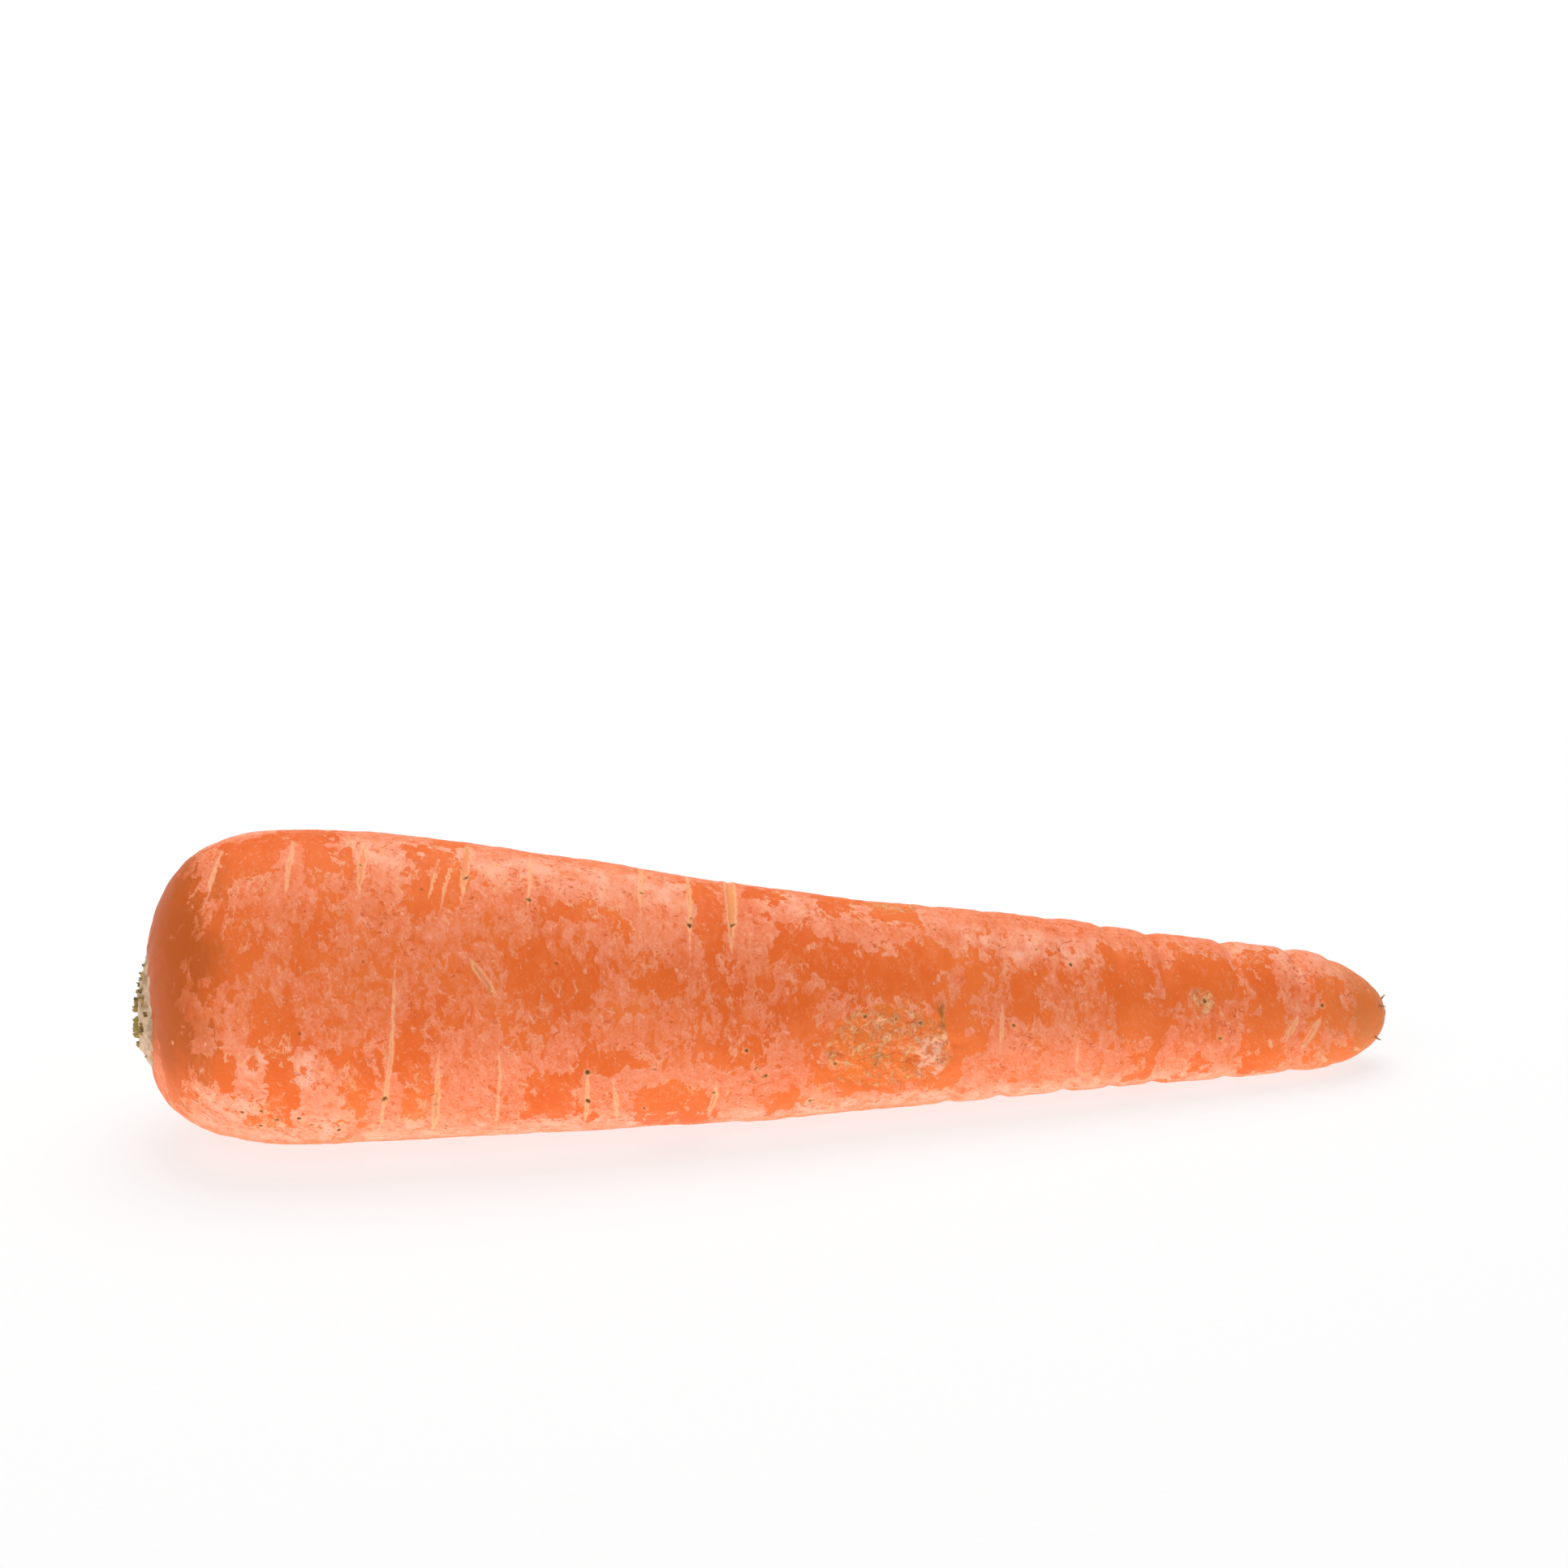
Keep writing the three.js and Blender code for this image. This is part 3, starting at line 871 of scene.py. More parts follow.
def film_colours(tree, colours, place, banded, torn, mottle, grain):
    """Colour of the film and the flesh under it, before any mark is laid on them."""
    film, rim, edge = torn
    broad = noise_value(tree, place, FINENESS["flesh"], 3.0, 0.5)
    flesh = blend_colour(tree, ramp(tree, broad, 0.35, 0.65), colours.flesh_deep, colours.flesh_bright)
    flesh = blend_colour(tree, ramp(tree, mottle, 0.4, 0.8, 0.0, 0.5), flesh, colours.flesh_light)
    dry = blend_colour(tree, ramp(tree, mottle, 0.3, 0.7), colours.film_deep, colours.film_pale)
    dry = blend_colour(tree, ramp(tree, grain, 0.42, 0.72, 0.0, 0.55), dry, colours.film_frost)
    # The thick field's frost and bloom are real frost, and along the underside painted light from the
    # floor.
    frost = maths(tree, "MULTIPLY_ADD", attribute(tree, "thick"), 0.5, mottle)
    dry = blend_colour(tree, ramp(tree, frost, 0.62, 1.05, 0.0, 0.9), dry, colours.film_frost)
    dry = blend_colour(tree, ramp(tree, frost, 0.94, 1.12, 0.0, 0.7), dry, colours.film_bloom)
    sheer = noise_value(tree, banded, FINENESS["sheer"], 5.0, 0.7)
    sheer = maths(tree, "MULTIPLY_ADD", attribute(tree, "thin"), 0.13, sheer)
    dry = blend_colour(tree, ramp(tree, sheer, 0.42, 0.82, 0.0, 0.95), dry, flesh)
    colour = blend_colour(tree, film, flesh, dry)
    strength = ramp(tree, attribute(tree, "thin"), 0.0, 1.0, 0.6, 0.35)
    colour = blend_colour(tree, times(tree, rim, strength), colour, colours.rim_pale)
    curls = squiggles(tree, Vector=banded, Scale=FINENESS["curls"], Thickness=0.055, Sparseness=0.53)
    reach = times(tree, ramp(tree, edge, 0.0, 1.0, 0.3, 0.9), strength)
    reach = maths(tree, "MULTIPLY_ADD", attribute(tree, "thick"), 0.4, reach)
    curls = times(tree, curls, reach)
    colour = blend_colour(tree, curls, colour, colours.rim_pale)
    # Cracks are real gaps in the film; their dark colour is painted shade in the gaps.
    slanted = stretched(tree, place, CRACK_SLANT, CRACK_SHIFT)
    cracks = squiggles(tree, Vector=slanted, Scale=FINENESS["cracks"], Thickness=0.05, Sparseness=0.52)
    gaps = noise_value(tree, slanted, FINENESS["crack_gaps"], 1.0)
    broken = ramp(tree, gaps, 0.5, 0.6, 0.0, 0.9)
    broken = times(tree, broken, ramp(tree, film, 0.0, 1.0, 0.1, 1.0))
    cracks = times(tree, cracks, broken)
    colour = blend_colour(tree, cracks, colour, colours.crack_shade)
    # Painted highlight and painted shade: the lit flanks of fine crinkles are drawn paler and the shaded
    # flanks darker.
    lit, shaded = crinkles(tree, Vector=banded, Scale=FINENESS["crinkles"])
    amount = ramp(tree, film, 0.0, 1.0, 0.3, 0.7)
    colour = blend_colour(tree, times(tree, lit, amount), colour, colours.film_frost)
    colour = blend_colour(tree, times(tree, shaded, amount), colour, colours.flesh_deep)
    return colour, maths(tree, "SUBTRACT", maths(tree, "MAXIMUM", rim, curls), cracks)


def brown_ends(tree, colours, colour, mottle, grain, film):
    """The shoulder, browned and darkened with painted shade, the crown's pale edge, the tan tip and the
    tail's dry end.
    """
    crown, tip = attribute(tree, "crown"), attribute(tree, "tip")
    # Real browning and painted shade on the shoulder.
    reach = swing(tree, mottle, 0.8, crown)
    shoulder = ramp(tree, maths(tree, "MULTIPLY_ADD", film, -0.2, reach), 0.25, 0.95, 0.0, 0.95)
    colour = blend_colour(tree, shoulder, colour, colours.shoulder)
    face = maths(tree, "MULTIPLY_ADD", grain, 0.4, attribute(tree, "face"))
    flecks = ramp(tree, mottle, 0.5, 0.62, 0.0, 0.7)
    bark = blend_colour(tree, flecks, colours.crown_edge, colours.crown_bark)
    colour = blend_colour(tree, ramp(tree, face, 0.35, 1.0, 0.0, 0.95), colour, bark)
    tan_share = swing(tree, mottle, 1.6, tip)
    colour = blend_colour(tree, ramp(tree, tan_share, 0.35, 1.3, 0.0, 0.75), colour, colours.tip)
    tail = ramp(tree, attribute(tree, "tail"), 0.1, 0.8, 0.0, 0.4)
    return blend_colour(tree, tail, colour, colours.crown_bark)


def healed_wound(tree, colours, colour, place, mottle):
    """Corky crust with pale crumbs and threads, painted highlight and shade on its crinkles, and a soil
    stain; returns the colour and the crust.
    """
    level = maths(tree, "MULTIPLY_ADD", mottle, 0.6, attribute(tree, "wound"))
    inside = ramp(tree, level, 0.72, 0.84)
    ground = blend_colour(tree, ramp(tree, mottle, 0.38, 0.6, 0.3, 0.9), colour, colours.wound_flesh)
    cream = attribute(tree, "cream")
    chips = noise_value(tree, place, FINENESS["chips"], 5.0, 0.75, 0.5)
    chips = ramp(tree, maths(tree, "MULTIPLY_ADD", cream, 0.1, chips), 0.5, 0.62)
    pale = blend_colour(tree, cream, colours.wound_crust, colours.film_bloom)
    crust = blend_colour(tree, times(tree, chips, 0.85), ground, pale)
    threads = squiggles(tree, Vector=place, Scale=FINENESS["threads"], Thickness=0.045, Sparseness=0.5)
    crust = blend_colour(tree, times(tree, threads, 0.5), crust, colours.rim_pale)
    # Painted highlight and painted shade on the flanks of the crust's crinkles.
    lit, shaded = crinkles(tree, Vector=place, Scale=FINENESS["crust"])
    crust = blend_colour(tree, times(tree, lit, 0.6), crust, colours.rim_pale)
    crust = blend_colour(tree, times(tree, shaded, 0.6), crust, colours.crack_shade)
    colour = blend_colour(tree, inside, colour, crust)
    stain = noise_value(tree, stretched(tree, place, (1.0, 0.7, 0.7)), FINENESS["soil"], 4.0, 0.65)
    stain = maths(tree, "MULTIPLY_ADD", attribute(tree, "soiled"), 0.3, stain)
    soil = blend_colour(tree, ramp(tree, stain, 0.8, 0.92), colours.soil, colours.stain)
    colour = blend_colour(tree, ramp(tree, stain, 0.66, 0.92, 0.0, 0.66), colour, soil)
    return colour, times(tree, chips, inside)


def stored_marks(tree, kind, place, wander, roundness):
    """How far inside the nearest mark of a kind a point is, from what the mesh stores of it."""
    across, along, size = (attribute(tree, f"{kind}_{part}") for part in ("across", "along", "size"))
    return lens_mark(
        tree, Vector=place, Across=across, Along=along, Size=size, Wander=wander, Roundness=roundness)


def scars_and_spots(tree, colours, colour, place, mottle, grain):
    """Corky lenses of the side roots and the dark stumps in some of them."""
    depth = stored_marks(tree, "scar", place, wander=0.9, roundness=0.0)
    halo = ramp(tree, depth, -0.24, 0.0, 0.0, 0.5)
    colour = blend_colour(tree, halo, colour, colours.film_frost)
    pale = times(tree, ramp(tree, depth, -0.1, 0.16), ramp(tree, grain, 0.35, 0.65, 0.35, 0.95))
    colour = blend_colour(tree, pale, colour, colours.scar_pale)
    core = blend_colour(tree, ramp(tree, mottle, 0.4, 0.6), colours.scar_core, colours.film_pale)
    colour = blend_colour(tree, ramp(tree, depth, 0.22, 0.36, 0.0, 0.9), colour, core)
    reach = stored_marks(tree, "spot", place, wander=1.5, roundness=1.0)
    colour = blend_colour(tree, ramp(tree, reach, -0.5, -0.1, 0.0, 0.35), colour, colours.scar_pale)
    colour = blend_colour(tree, ramp(tree, reach, -0.14, 0.02, 0.0, 0.6), colour, colours.stain)
    return blend_colour(tree, ramp(tree, reach, 0.04, 0.24, 0.0, 0.9), colour, colours.spot_dark)


def carrot_skin_material(colours):
    """Salmon dry film over shining orange flesh, with pale scars, dark spots and a browned crown."""
    material, tree, shader, place = new_material("Carrot Skin")
    banded = stretched(tree, place, BANDING)
    torn = torn_film(
        tree, Vector=banded, Worn=attribute(tree, "worn"), Thin=attribute(tree, "thin"),
        Scale=FINENESS["film"], Raggedness=FILM_RAGGEDNESS)
    film = torn[0]
    mottle, grain = dry_grain(tree, Vector=banded, Scale=FINENESS["grain"])
    colour, relief = film_colours(tree, colours, place, banded, torn, mottle, grain)
    colour = brown_ends(tree, colours, colour, mottle, grain, film)
    colour, crust = healed_wound(tree, colours, colour, place, mottle)
    colour = scars_and_spots(tree, colours, colour, place, mottle, grain)

    dark = specks(tree, Vector=place, Scale=FINENESS["dark_specks"], Size=0.10, Kept=0.07)
    pale = specks(tree, Vector=banded, Scale=FINENESS["pale_specks"], Size=0.12, Kept=0.12)
    colour = blend_colour(tree, times(tree, dark, 0.6), colour, colours.stain)
    colour = blend_colour(tree, times(tree, pale, 0.7), colour, colours.rim_pale)

    rough = ramp(tree, film, 0.0, 1.0, 0.45, 0.7)
    rough = maths(tree, "MULTIPLY_ADD", grain, 0.16, rough)
    layers = maths(tree, "MULTIPLY_ADD", relief, 0.5, film)
    raised = bump(tree, layers, FILM_RELIEF)
    fine = maths(tree, "MULTIPLY_ADD", crust, 2.0, grain)
    normal = bump(tree, fine, GRAIN_RELIEF, 0.8, raised)
    fill_inputs(tree, shader, {
        "Base Color": colour, "Roughness": rough, "Normal": normal, "Specular IOR Level": 0.08,
        "Subsurface Weight": 0.06, "Subsurface Radius": GLOW_REACH, "Subsurface Scale": GLOW_DEPTH})
    return material


def stalk_material(colours):
    """Dry leaf stalk: yellow-green sides with brown streaks, and a paler fibrous cut."""
    material, tree, shader, place = new_material("Dried Stalk")
    fibres = stretched(tree, place, STALK_FIBRES)
    mottle, grain = dry_grain(tree, Vector=fibres, Scale=FINENESS["stalk"])
    side = blend_colour(tree, ramp(tree, mottle, 0.35, 0.65), colours.side_green, colours.side_tan)
    side = blend_colour(tree, ramp(tree, grain, 0.5, 0.7, 0.0, 0.7), side, colours.brown)
    pores = specks(tree, Vector=place, Scale=FINENESS["pores"], Size=0.25, Kept=0.5)
    face = blend_colour(tree, ramp(tree, mottle, 0.35, 0.7), colours.cut_pale, colours.side_tan)
    face = blend_colour(tree, times(tree, pores, 0.7), face, colours.brown)
    fill_inputs(tree, shader, {
        "Base Color": blend_colour(tree, attribute(tree, "cut"), side, face),
        "Roughness": ramp(tree, grain, 0.3, 0.7, 0.7, 0.92), "Specular IOR Level": 0.25,
        "Normal": bump(tree, maths(tree, "ADD", mottle, grain), STALK_RELIEF)})
    return material


def dry_fibre_material(colours):
    """Papery brown sheath scraps and hair roots."""
    material, tree, shader, place = new_material("Dry Fibre")
    fibres = stretched(tree, place, SCRAP_FIBRES)
    mottle, grain = dry_grain(tree, Vector=fibres, Scale=FINENESS["fibre"])
    colour = blend_colour(tree, ramp(tree, mottle, 0.35, 0.62), colours.brown, colours.side_tan)
    colour = blend_colour(tree, ramp(tree, grain, 0.45, 0.65, 0.0, 0.5), colour, colours.cut_pale)
    fill_inputs(tree, shader, {
        "Base Color": colour, "Roughness": ramp(tree, grain, 0.3, 0.7, 0.75, 0.95),
        "Normal": bump(tree, mottle, FIBRE_RELIEF), "Specular IOR Level": 0.2})
    return material


def floor_material(settings):
    """White backlit paper. What the camera sees of its glow is kept low near the carrot, so that the
    soft shadow and the orange light under it can be made out."""
    material, tree, shader, place = new_material("White Sweep")
    fibre = noise_value(tree, place, FINENESS["paper"], 2.0)
    paper = blend_colour(tree, fibre, *PAPER_TONES)
    away = node(tree, "ShaderNodeVectorMath", {0: place}, operation="LENGTH").outputs["Value"]
    seen = ramp(tree, away, 0.2, 1.2, settings.floor_seen, 0.98)
    ray = node(tree, "ShaderNodeLightPath").outputs["Is Camera Ray"]
    glow = maths(tree, "ADD", times(tree, ray, seen),
                 times(tree, maths(tree, "SUBTRACT", 1.0, ray), settings.floor_glow))
    fill_inputs(tree, shader, {
        "Base Color": paper, "Roughness": 0.9, "Specular IOR Level": 0.05,
        "Emission Color": WHITE, "Emission Strength": glow})
    return material


# ---------------------------------------------------------------- small pieces

def tube_rings(path, radii, sides):
    """Rings of a tapering tube along a path; its ends close to a point."""
    path = np.asarray(path, float)
    ahead = np.gradient(path, axis=0)
    ahead /= np.linalg.norm(ahead, axis=1, keepdims=True)
    side = np.cross(ahead, [0.1, 0.3, 1.0])
    side /= np.linalg.norm(side, axis=1, keepdims=True)
    up = np.cross(side, ahead)
    angle = np.arange(sides) * 2 * pi / sides
    circle = np.cos(angle)[None, :, None] * side[:, None] + np.sin(angle)[None, :, None] * up[:, None]
    return path[:, None] + circle * np.asarray(radii, float)[:, None, None]


def stalk_section(radius, thickness, spread, points):
    """A crescent's outline and the line it shrinks to, as (across, around) in millimetres."""
    angle = np.arange(points) * 2 * pi / points
    half = radians(spread / 2)
    around = half * np.sin(angle)
    bulge = np.cos(angle) * np.maximum(0.0, 1 - (around / half) ** 4) ** 0.35
    reach = radius + thickness / 2 * bulge
    outline = np.stack((reach * np.cos(around), reach * np.sin(around)), -1)
    line = np.stack((radius * np.cos(0.85 * around), radius * np.sin(0.85 * around)), -1)
    return outline, line


def stalk_rings(outline, line, height, random, fray):
    """Layers up a stalk's sides and over its cut face, with how much each belongs to the cut."""
    layers, cut = [], []
    points = len(outline)
    fringe = -2.2 * np.abs(random.normal(0, 1, points))
    fringe = 0.7 * fringe + 0.3 * np.roll(fringe, 1)
    ribs = 1 + 0.035 * np.sin(np.arange(points) * 2 * pi / points * STALK_RIBS)
    ribs += 0.02 * random.normal(0, 1, points)
    centre = line.mean(0)
    levels = np.concatenate(([0, 0], np.linspace(0.05, 1, STALK_LEVELS)))
    for i, level in enumerate(levels):
        shrink = 0.0 if i == 0 else 1.0
        spread = 1 - 0.12 * level ** 2
        ring = line + (outline - line) * shrink * ribs[:, None] * (1 - 0.1 * level)
        ring = centre + (ring - centre) * spread
        top = level * height + (level ** 4) * fray * fringe
        layers.append(np.column_stack((ring, top)))
        cut.append(smooth_step(0.93, 1.0, level) * np.full(points, 0.6))
    for share in CUT_SHARES:
        ring = line + (outline - line) * share * 0.9
        ring = centre + (ring - centre) * 0.88
        dip = height - 0.5 * (1 - share) - fray * np.abs(random.normal(0, 1, points))
        layers.append(np.column_stack((ring, dip)))
        cut.append(np.full(points, 1.0))
    return np.array(layers), np.array(cut)


def crown_middle():
    """The middle of the crown's mound, in millimetres, from the heart stalk's solid."""
    low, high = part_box("heart_leaf_stalk")
    return np.array([high.x, (low.y + high.y) / 2, (low.z + high.z) / 2]) / MM


def stand_on_crown(layers, turn, foot):
    """Turns (across, around, up) coordinates into the row frame, in metres, standing on the mound
    round a foot that is given in millimetres."""
    across, around, up = layers[..., 0], layers[..., 1], layers[..., 2]
    x = foot[0] - up
    y = foot[1] + across * np.cos(turn) - around * np.sin(turn)
    z = foot[2] + across * np.sin(turn) + around * np.cos(turn)
    return np.stack((x, y, z), -1) * MM


def stalk_turn(node_name):
    """Where a stalk's solid stands round the crown's middle."""
    low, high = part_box(node_name)
    middle = crown_middle()
    return np.arctan2((low.z + high.z) / (2 * MM) - middle[2], (low.y + high.y) / (2 * MM) - middle[1])


def stalk_height(node_name):
    low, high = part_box(node_name)
    return (high.x - low.x) / MM + STALK_ROOTING - 0.1


# ---------------------------------------------------------------- settings

def colour_setting(name, description, *levels):
    """A colour that a user can change; its default is given in display levels, 0 to 255."""
    return FloatVectorProperty(
        name=name, description=description, subtype="COLOR", size=3, default=tone(*levels))


def length_setting(name, description, default):
    return FloatProperty(name=name, description=description, default=default, unit="LENGTH", precision=5)


class SkinSettings(bpy.types.PropertyGroup):
    """Sizes and colours of the root's skin."""
    seed: IntProperty(name="Seed", description="Sets where the hidden side's marks fall", default=7)
    lump_height: length_setting("Lumps", "Height of the root's broad lumps", 0.28 * MM)
    wrinkle_height: length_setting("Wrinkles", "Height of the fine wrinkles round the root", 0.07 * MM)
    scar_depth: length_setting("Scar depth", "Depth of the side roots' scars", 0.38 * MM)
    constriction_depth: length_setting("Ring depth", "Depth of the rings that narrow the root", 0.5 * MM)
    wound_depth: length_setting("Wound depth", "Depth of the healed wounds", 0.45 * MM)
    flesh_deep: colour_setting("Deep flesh", "Bare orange flesh, darkest", 232, 103, 42)
    flesh_bright: colour_setting("Bright flesh", "Bare orange flesh, brightest", 241, 118, 54)
    flesh_light: colour_setting("Light flesh", "Lighter mottling in the flesh", 245, 131, 73)
    film_deep: colour_setting("Deep film", "Dry film, darkest", 241, 131, 88)
    film_pale: colour_setting("Pale film", "Dry film, palest", 246, 144, 106)
    # Frost and bloom also paint the floor's light along the underside as paler film.
    film_frost: colour_setting("Film frost", "Whitened grain on the dry film", 251, 167, 134)
    film_bloom: colour_setting("Film bloom", "Palest bloom where the film is thick", 252, 186, 158)
    # Painted shade: the dark in the film's cracks, which also paints the shaded flanks of the wound
    # crust's crinkles.
    crack_shade: colour_setting("Film cracks", "Short dark cracks in the dry film", 212, 90, 42)
    rim_pale: colour_setting("Torn rim", "Edges and curls of the torn film", 252, 180, 136)
    # Brown of the shoulder: partly real browning, partly painted shade where it faces away from the
    # light.
    shoulder: colour_setting("Shoulder", "Browned skin round the crown", 190, 90, 34)
    crown_edge: colour_setting("Crown edge", "Pale corky edge of the crown", 214, 186, 156)
    tip: colour_setting("Tip", "Tan skin at the tip", 210, 124, 64)
    crown_bark: colour_setting("Crown bark", "Greenish brown flecks on the crown", 150, 118, 74)
    scar_pale: colour_setting("Scar", "Corky lining of the scars", 252, 186, 130)
    scar_core: colour_setting("Scar core", "Tan middle of the wide scars", 236, 152, 94)
    wound_flesh: colour_setting("Wound flesh", "Orange inside a healed wound", 242, 124, 50)
    wound_crust: colour_setting("Wound crust", "Corky crust of a healed wound", 248, 182, 124)
    soil: colour_setting("Soil", "Thin golden brown soil in a wound", 164, 118, 58)
    stain: colour_setting("Stain", "Soil stain in wounds and specks", 128, 82, 34)
    spot_dark: colour_setting("Dark spots", "Stumps of side roots", 106, 54, 20)


class StalkSettings(bpy.types.PropertyGroup):
    """Sizes and colours of the trimmed stalks, sheath scraps and hair roots."""
    fray: length_setting("Fray", "How uneven the cut ends are", 0.35 * MM)
    scraps: IntProperty(
        name="Scraps", description="Number of sheath scraps round the crown", default=26, min=0)
    hair_thickness: length_setting(
        "Hair thickness", "Thickness of a hair root where it leaves the skin", 0.42 * MM)
    side_green: colour_setting("Side green", "Green of the stalks", 138, 140, 62)
    side_tan: colour_setting("Side tan", "Dried tan of the stalks", 190, 152, 92)
    cut_pale: colour_setting("Cut face", "Pale fibres of the cuts", 214, 190, 132)
    brown: colour_setting("Dead brown", "Dead brown fibres", 84, 58, 34)


class StageSettings(bpy.types.PropertyGroup):
    """Camera, floor and lights."""
    camera_along: length_setting(
        "Camera along", "Camera's place along the root, from the crown face", 1.81 * MM)
    camera_back: length_setting(
        "Camera back", "Camera's distance from the middle line, towards -Y", 497.6 * MM)
    camera_height: length_setting("Camera height", "Camera's height above the floor", 187.7 * MM)
    camera_yaw: FloatProperty(
        name="Camera yaw", description="How far the camera turns from +Y towards +X",
        default=radians(11), subtype="ANGLE")
    camera_pitch: FloatProperty(
        name="Camera pitch", description="How far the camera looks down",
        default=radians(15), subtype="ANGLE")
    view_angle: FloatProperty(
        name="View angle", description="Camera's field of view", default=radians(26), subtype="ANGLE")
    floor_glow: FloatProperty(name="Floor glow", description="Light given off by the floor", default=1.2)
    floor_seen: FloatProperty(
        name="Floor seen", description="How bright the floor's glow looks near the carrot", default=0.74)
    sky: FloatProperty(name="Sky", description="Strength of the even light from above", default=0.28)
    overhead: FloatProperty(
        name="Overhead light", description="Power of the large light above", default=8.0, unit="POWER")


# ---------------------------------------------------------------- operators

class CARROT_OT_build_root(bpy.types.Operator):
    """Builds the taproot's skin with its rings, scars, wounds and crown"""
    bl_idname = "carrot.build_root"
    bl_label = "Root"

    def execute(self, context):
        settings = context.scene.carrot_skin
        skin = root_skin(settings)
        points = skin.points + grid_normals(skin.points) * skin.height[..., None]
        points[0] = skin.points[0]
        points[-1] = skin.points[-1]
        low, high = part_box("carrot_root")
        points = keep_inside(points * MM, low, high)
        mesh = mesh_from_rings("carrot_skin", points, skin.fields)
        add_piece("carrot_skin", mesh, carrot_skin_material(settings), "root_skin", "carrot_root")
        return {"FINISHED"}


class CARROT_OT_build_stalks(bpy.types.Operator):
    """Builds the trimmed leaf stalks that stand in the crown"""
    bl_idname = "carrot.build_stalks"
    bl_label = "Leaf stalks"

    def execute(self, context):
        settings = context.scene.carrot_stalks
        material = stalk_material(settings)
        random = np.random.default_rng(STALK_SEED)
        fray = settings.fray / MM
        for label, ring in STALK_RINGS.items():
            spread = ring["spread"] * STALK_SWELL
            outline, line = stalk_section(ring["radius"], ring["thickness"], spread, STALK_POINTS)
            for i in range(ring["count"]):
                name = f"{label}_{i + 1}"
                layers, cut = stalk_rings(outline, line, stalk_height(name) - fray, random, fray)
                self.add_stalk(name, layers, cut, stalk_turn(name), material)
        angle = np.arange(HEART_POINTS) * 2 * pi / HEART_POINTS
        outline = HEART_RADIUS * np.stack((np.cos(angle), np.sin(angle)), -1)
        name = "heart_leaf_stalk"
        layers, cut = stalk_rings(outline, outline * 0.05, stalk_height(name) - fray, random, fray)
        self.add_stalk(name, layers, cut, 0.0, material)
        return {"FINISHED"}

    def add_stalk(self, node_name, layers, cut, turn, material):
        rings = stand_on_crown(layers, turn, crown_middle() + np.array([STALK_ROOTING, 0, 0]))
        rings = keep_inside(rings, *cad_box)
        mesh = mesh_from_rings("cut_" + node_name, rings, {"cut": cut})
        add_piece("cut_" + node_name, mesh, material, "dried_stalk", node_name)


class CARROT_OT_build_fibres(bpy.types.Operator):
    """Builds the dry sheath scraps round the crown and the hair roots at the tip"""
    bl_idname = "carrot.build_fibres"
    bl_label = "Fibres"

    def execute(self, context):
        settings = context.scene.carrot_stalks
        material = dry_fibre_material(settings)
        self.sheath_scraps(settings, material)
        self.tip_hairs(settings, material)
        return {"FINISHED"}

    def sheath_scraps(self, settings, material):
        random = np.random.default_rng(SCRAP_SEED)
        for i in range(settings.scraps):
            turn = radians(SCRAP_TURN) + radians(SCRAP_SPREAD) * random.normal(0, 0.8)
            radius = random.uniform(*SCRAP_RADII)
            width, height = random.uniform(*SCRAP_WIDTHS), random.uniform(*SCRAP_HEIGHTS)
            lean = random.uniform(-0.1, 0.5)
            spread = np.degrees(2 * width / radius)
            outline, line = stalk_section(radius, SCRAP_THICKNESS, spread, SCRAP_POINTS)
            layers, _ = stalk_rings(outline, line, height, random, SCRAP_FRAY)
            layers[..., 0] += lean * layers[..., 2] * np.clip(layers[..., 2] / height, 0, 1)
            foot = middle_point(mound(radius)) + np.array([SCRAP_ROOTING, 0, 0])
            rings = keep_inside(stand_on_crown(layers, turn, foot), *cad_box)
            mesh = mesh_from_rings(f"sheath_scrap_{i + 1}", rings, {})
            add_piece(f"sheath_scrap_{i + 1}", mesh, material, "dried_stalk")

    def tip_hairs(self, settings, material):
        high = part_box("carrot_root")[1]
        along, across = TIP_ROUNDNESS
        for i, (turn, radius, length, droop) in enumerate(TIP_HAIRS):
            share = radius / body_radius(ROOT_LENGTH)
            u = (1 - share ** across) ** (1 / along)
            start = ROOT_LENGTH - TIP_CAP_LENGTH * (1 - u)
            steps = np.linspace(-0.3, 1, 9)
            reach = radius + 0.8 * length * steps
            path = skin_point(start + length * 0.5 * steps, np.full(len(steps), float(turn)), reach)
            path[:, 2] -= droop * np.clip(steps, 0, 1) ** 2
            radii = settings.hair_thickness / MM / 2 * np.linspace(1.0, 0.3, 9)
            rings = tube_rings(path, radii, 8) * MM
            rings[..., 0] = np.minimum(rings[..., 0], high.x)
            mesh = mesh_from_rings(f"tip_hair_{i + 1}", rings, {})
            add_piece(f"tip_hair_{i + 1}", mesh, material, "root_skin")


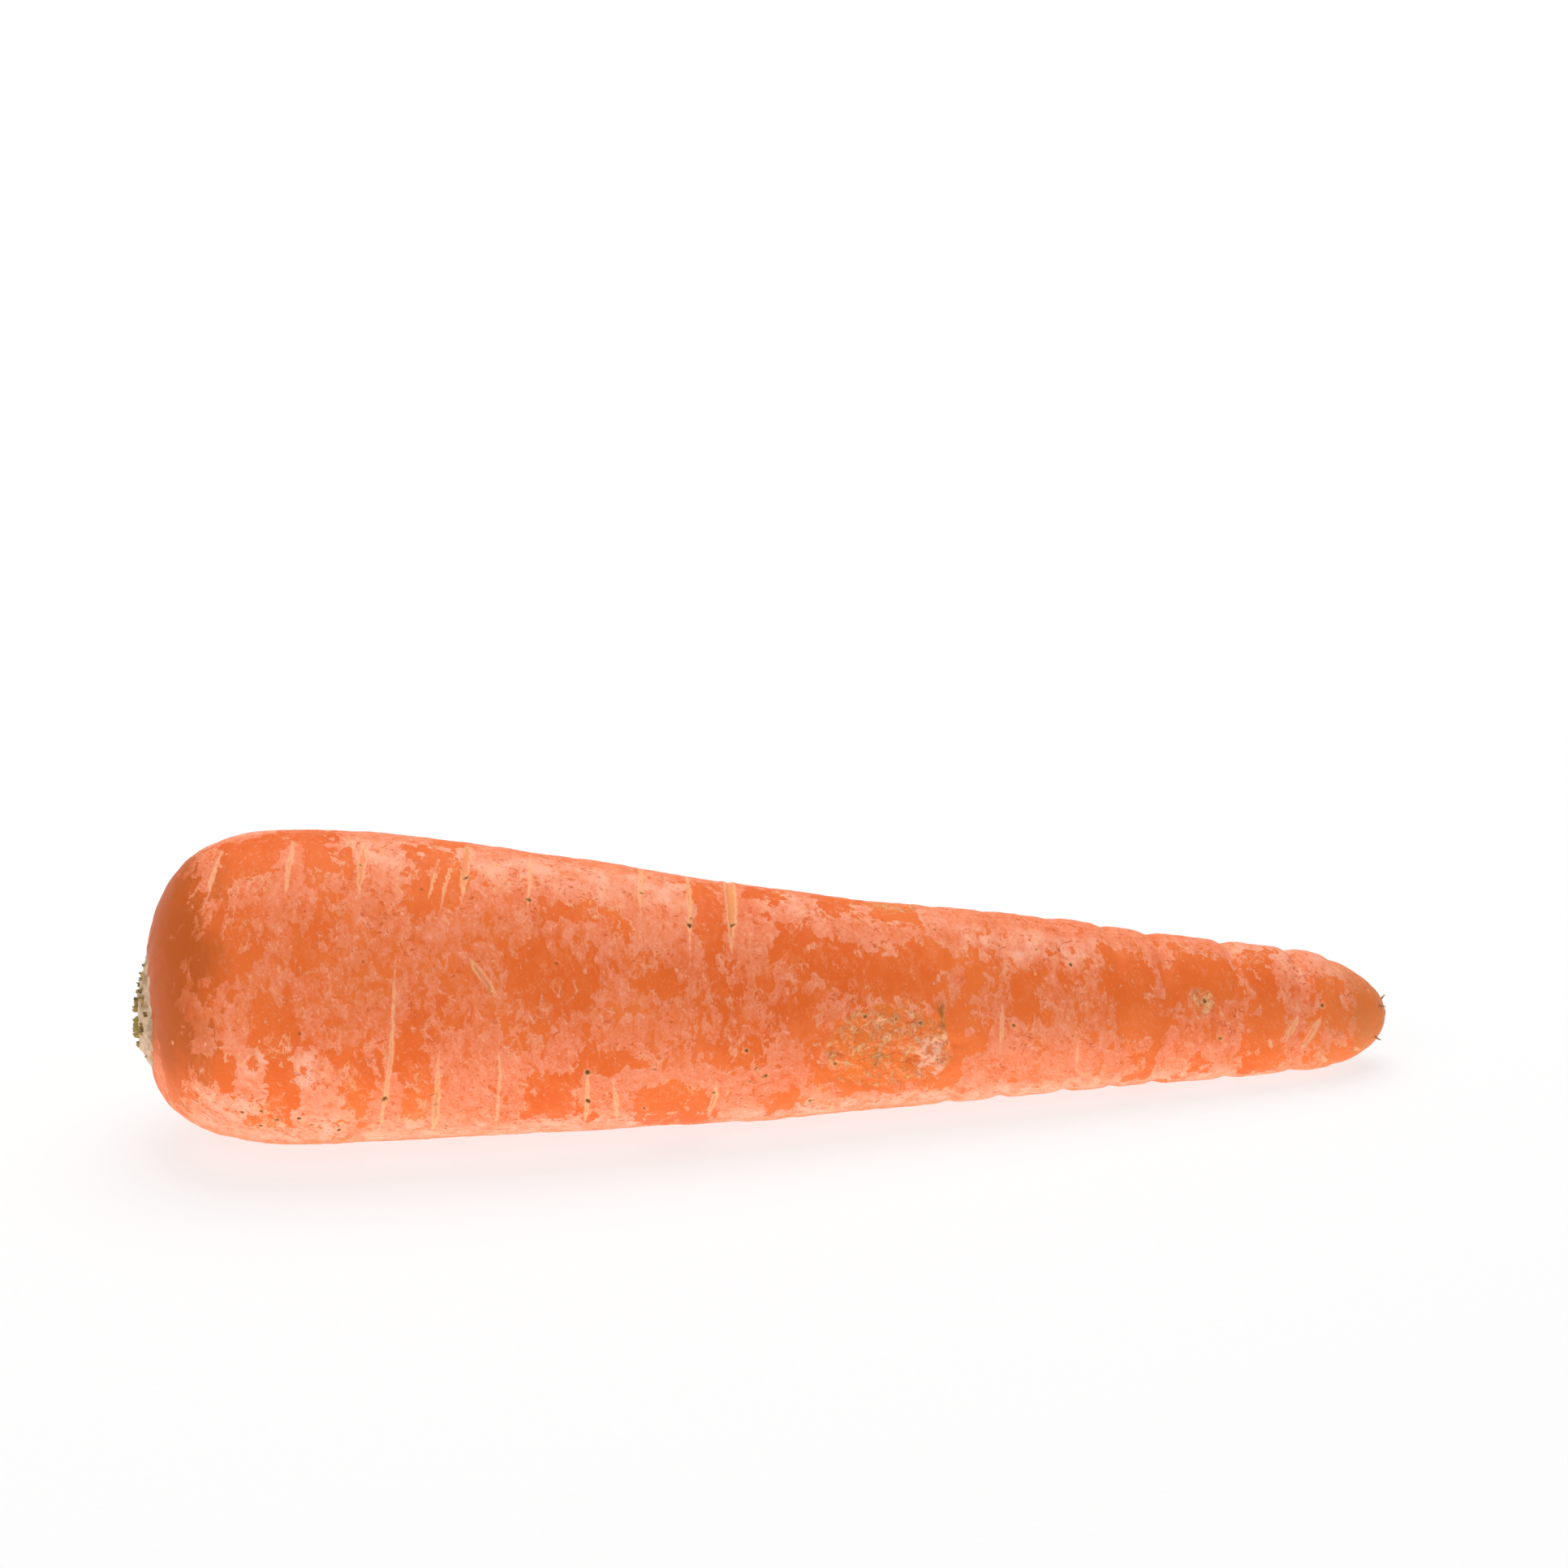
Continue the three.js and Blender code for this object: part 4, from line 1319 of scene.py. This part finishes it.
class CARROT_OT_build_stage(bpy.types.Operator):
    """Builds the floor, the lights and the camera"""
    bl_idname = "carrot.build_stage"
    bl_label = "Stage"

    def execute(self, context):
        settings = context.scene.carrot_stage
        self.floor(settings)
        self.lights(context, settings)
        self.camera(context, settings)
        return {"FINISHED"}

    def floor(self, settings):
        mesh = bpy.data.meshes.new("floor")
        corners = [(x * FLOOR_REACH, y * FLOOR_REACH, 0) for x, y in ((-1, -1), (1, -1), (1, 1), (-1, 1))]
        mesh.from_pydata(corners, [], [(0, 1, 2, 3)])
        floor = bpy.data.objects.new("floor", mesh)
        floor.location.z = -FLOOR_DROP
        bpy.context.scene.collection.objects.link(floor)
        mesh.materials.append(floor_material(settings))

    def lights(self, context, settings):
        scene = context.scene
        scene.view_settings.view_transform = "Standard"
        world = bpy.data.worlds.new("studio")
        scene.world = world
        world.use_nodes = True
        tree = world.node_tree
        direction = node(tree, "ShaderNodeTexCoord").outputs["Generated"]
        up = node(tree, "ShaderNodeSeparateXYZ", {0: direction}).outputs["Z"]
        seen = node(tree, "ShaderNodeLightPath").outputs["Is Camera Ray"]
        strength = maths(tree, "MAXIMUM", ramp(tree, up, 0.0, GLOW_FADES_AT, 1.0, settings.sky), seen)
        fill_inputs(tree, tree.nodes["Background"], {"Color": WHITE, "Strength": strength})
        for name, place, width, share in LIGHTS:
            light = bpy.data.lights.new(name, "AREA")
            light.shape = "DISK"
            light.size = width
            light.energy = settings.overhead * share
            lamp = bpy.data.objects.new(name, light)
            lamp.location = place
            lamp.rotation_euler = (-Vector(place)).to_track_quat("-Z", "Y").to_euler()
            scene.collection.objects.link(lamp)

    def camera(self, context, settings):
        start = root_offset() * MM
        camera = bpy.data.cameras.new("camera")
        camera.sensor_width = 36.0
        camera.lens = camera.sensor_width / 2 / tan(settings.view_angle / 2)
        camera.clip_end = 100.0
        holder = bpy.data.objects.new("camera", camera)
        along = start[0] + settings.camera_along
        holder.location = (along, start[1] - settings.camera_back, settings.camera_height)
        holder.rotation_euler = (pi / 2 - settings.camera_pitch, 0, -settings.camera_yaw)
        context.scene.collection.objects.link(holder)
        context.scene.camera = holder


class CARROT_PT_panel(bpy.types.Panel):
    """Lists the carrot's builders and their settings"""
    bl_idname = "CARROT_PT_panel"
    bl_label = "Carrot"
    bl_space_type = "VIEW_3D"
    bl_region_type = "UI"
    bl_category = "Carrot"

    def draw(self, context):
        for operator, group in BUILDERS:
            box = self.layout.box()
            box.operator(operator)
            settings = getattr(context.scene, group)
            for name in settings.__annotations__:
                box.prop(settings, name)


SETTINGS = {
    "carrot_skin": SkinSettings,
    "carrot_stalks": StalkSettings,
    "carrot_stage": StageSettings,
}
BUILDERS = [
    ("carrot.build_root", "carrot_skin"),
    ("carrot.build_stalks", "carrot_stalks"),
    ("carrot.build_fibres", "carrot_stalks"),
    ("carrot.build_stage", "carrot_stage"),
]
CLASSES = (
    SkinSettings, StalkSettings, StageSettings, CARROT_OT_build_root, CARROT_OT_build_stalks,
    CARROT_OT_build_fibres, CARROT_OT_build_stage, CARROT_PT_panel,
)


def register():
    for item in CLASSES:
        bpy.utils.register_class(item)
    for name, group in SETTINGS.items():
        setattr(bpy.types.Scene, name, PointerProperty(type=group))


def unregister():
    for name in SETTINGS:
        delattr(bpy.types.Scene, name)
    for item in reversed(CLASSES):
        bpy.utils.unregister_class(item)


def main():
    register()
    bpy.ops.carrot.build_root()
    bpy.ops.carrot.build_stalks()
    bpy.ops.carrot.build_fibres()
    bpy.ops.carrot.build_stage()


if __name__ == "__main__":
    main()
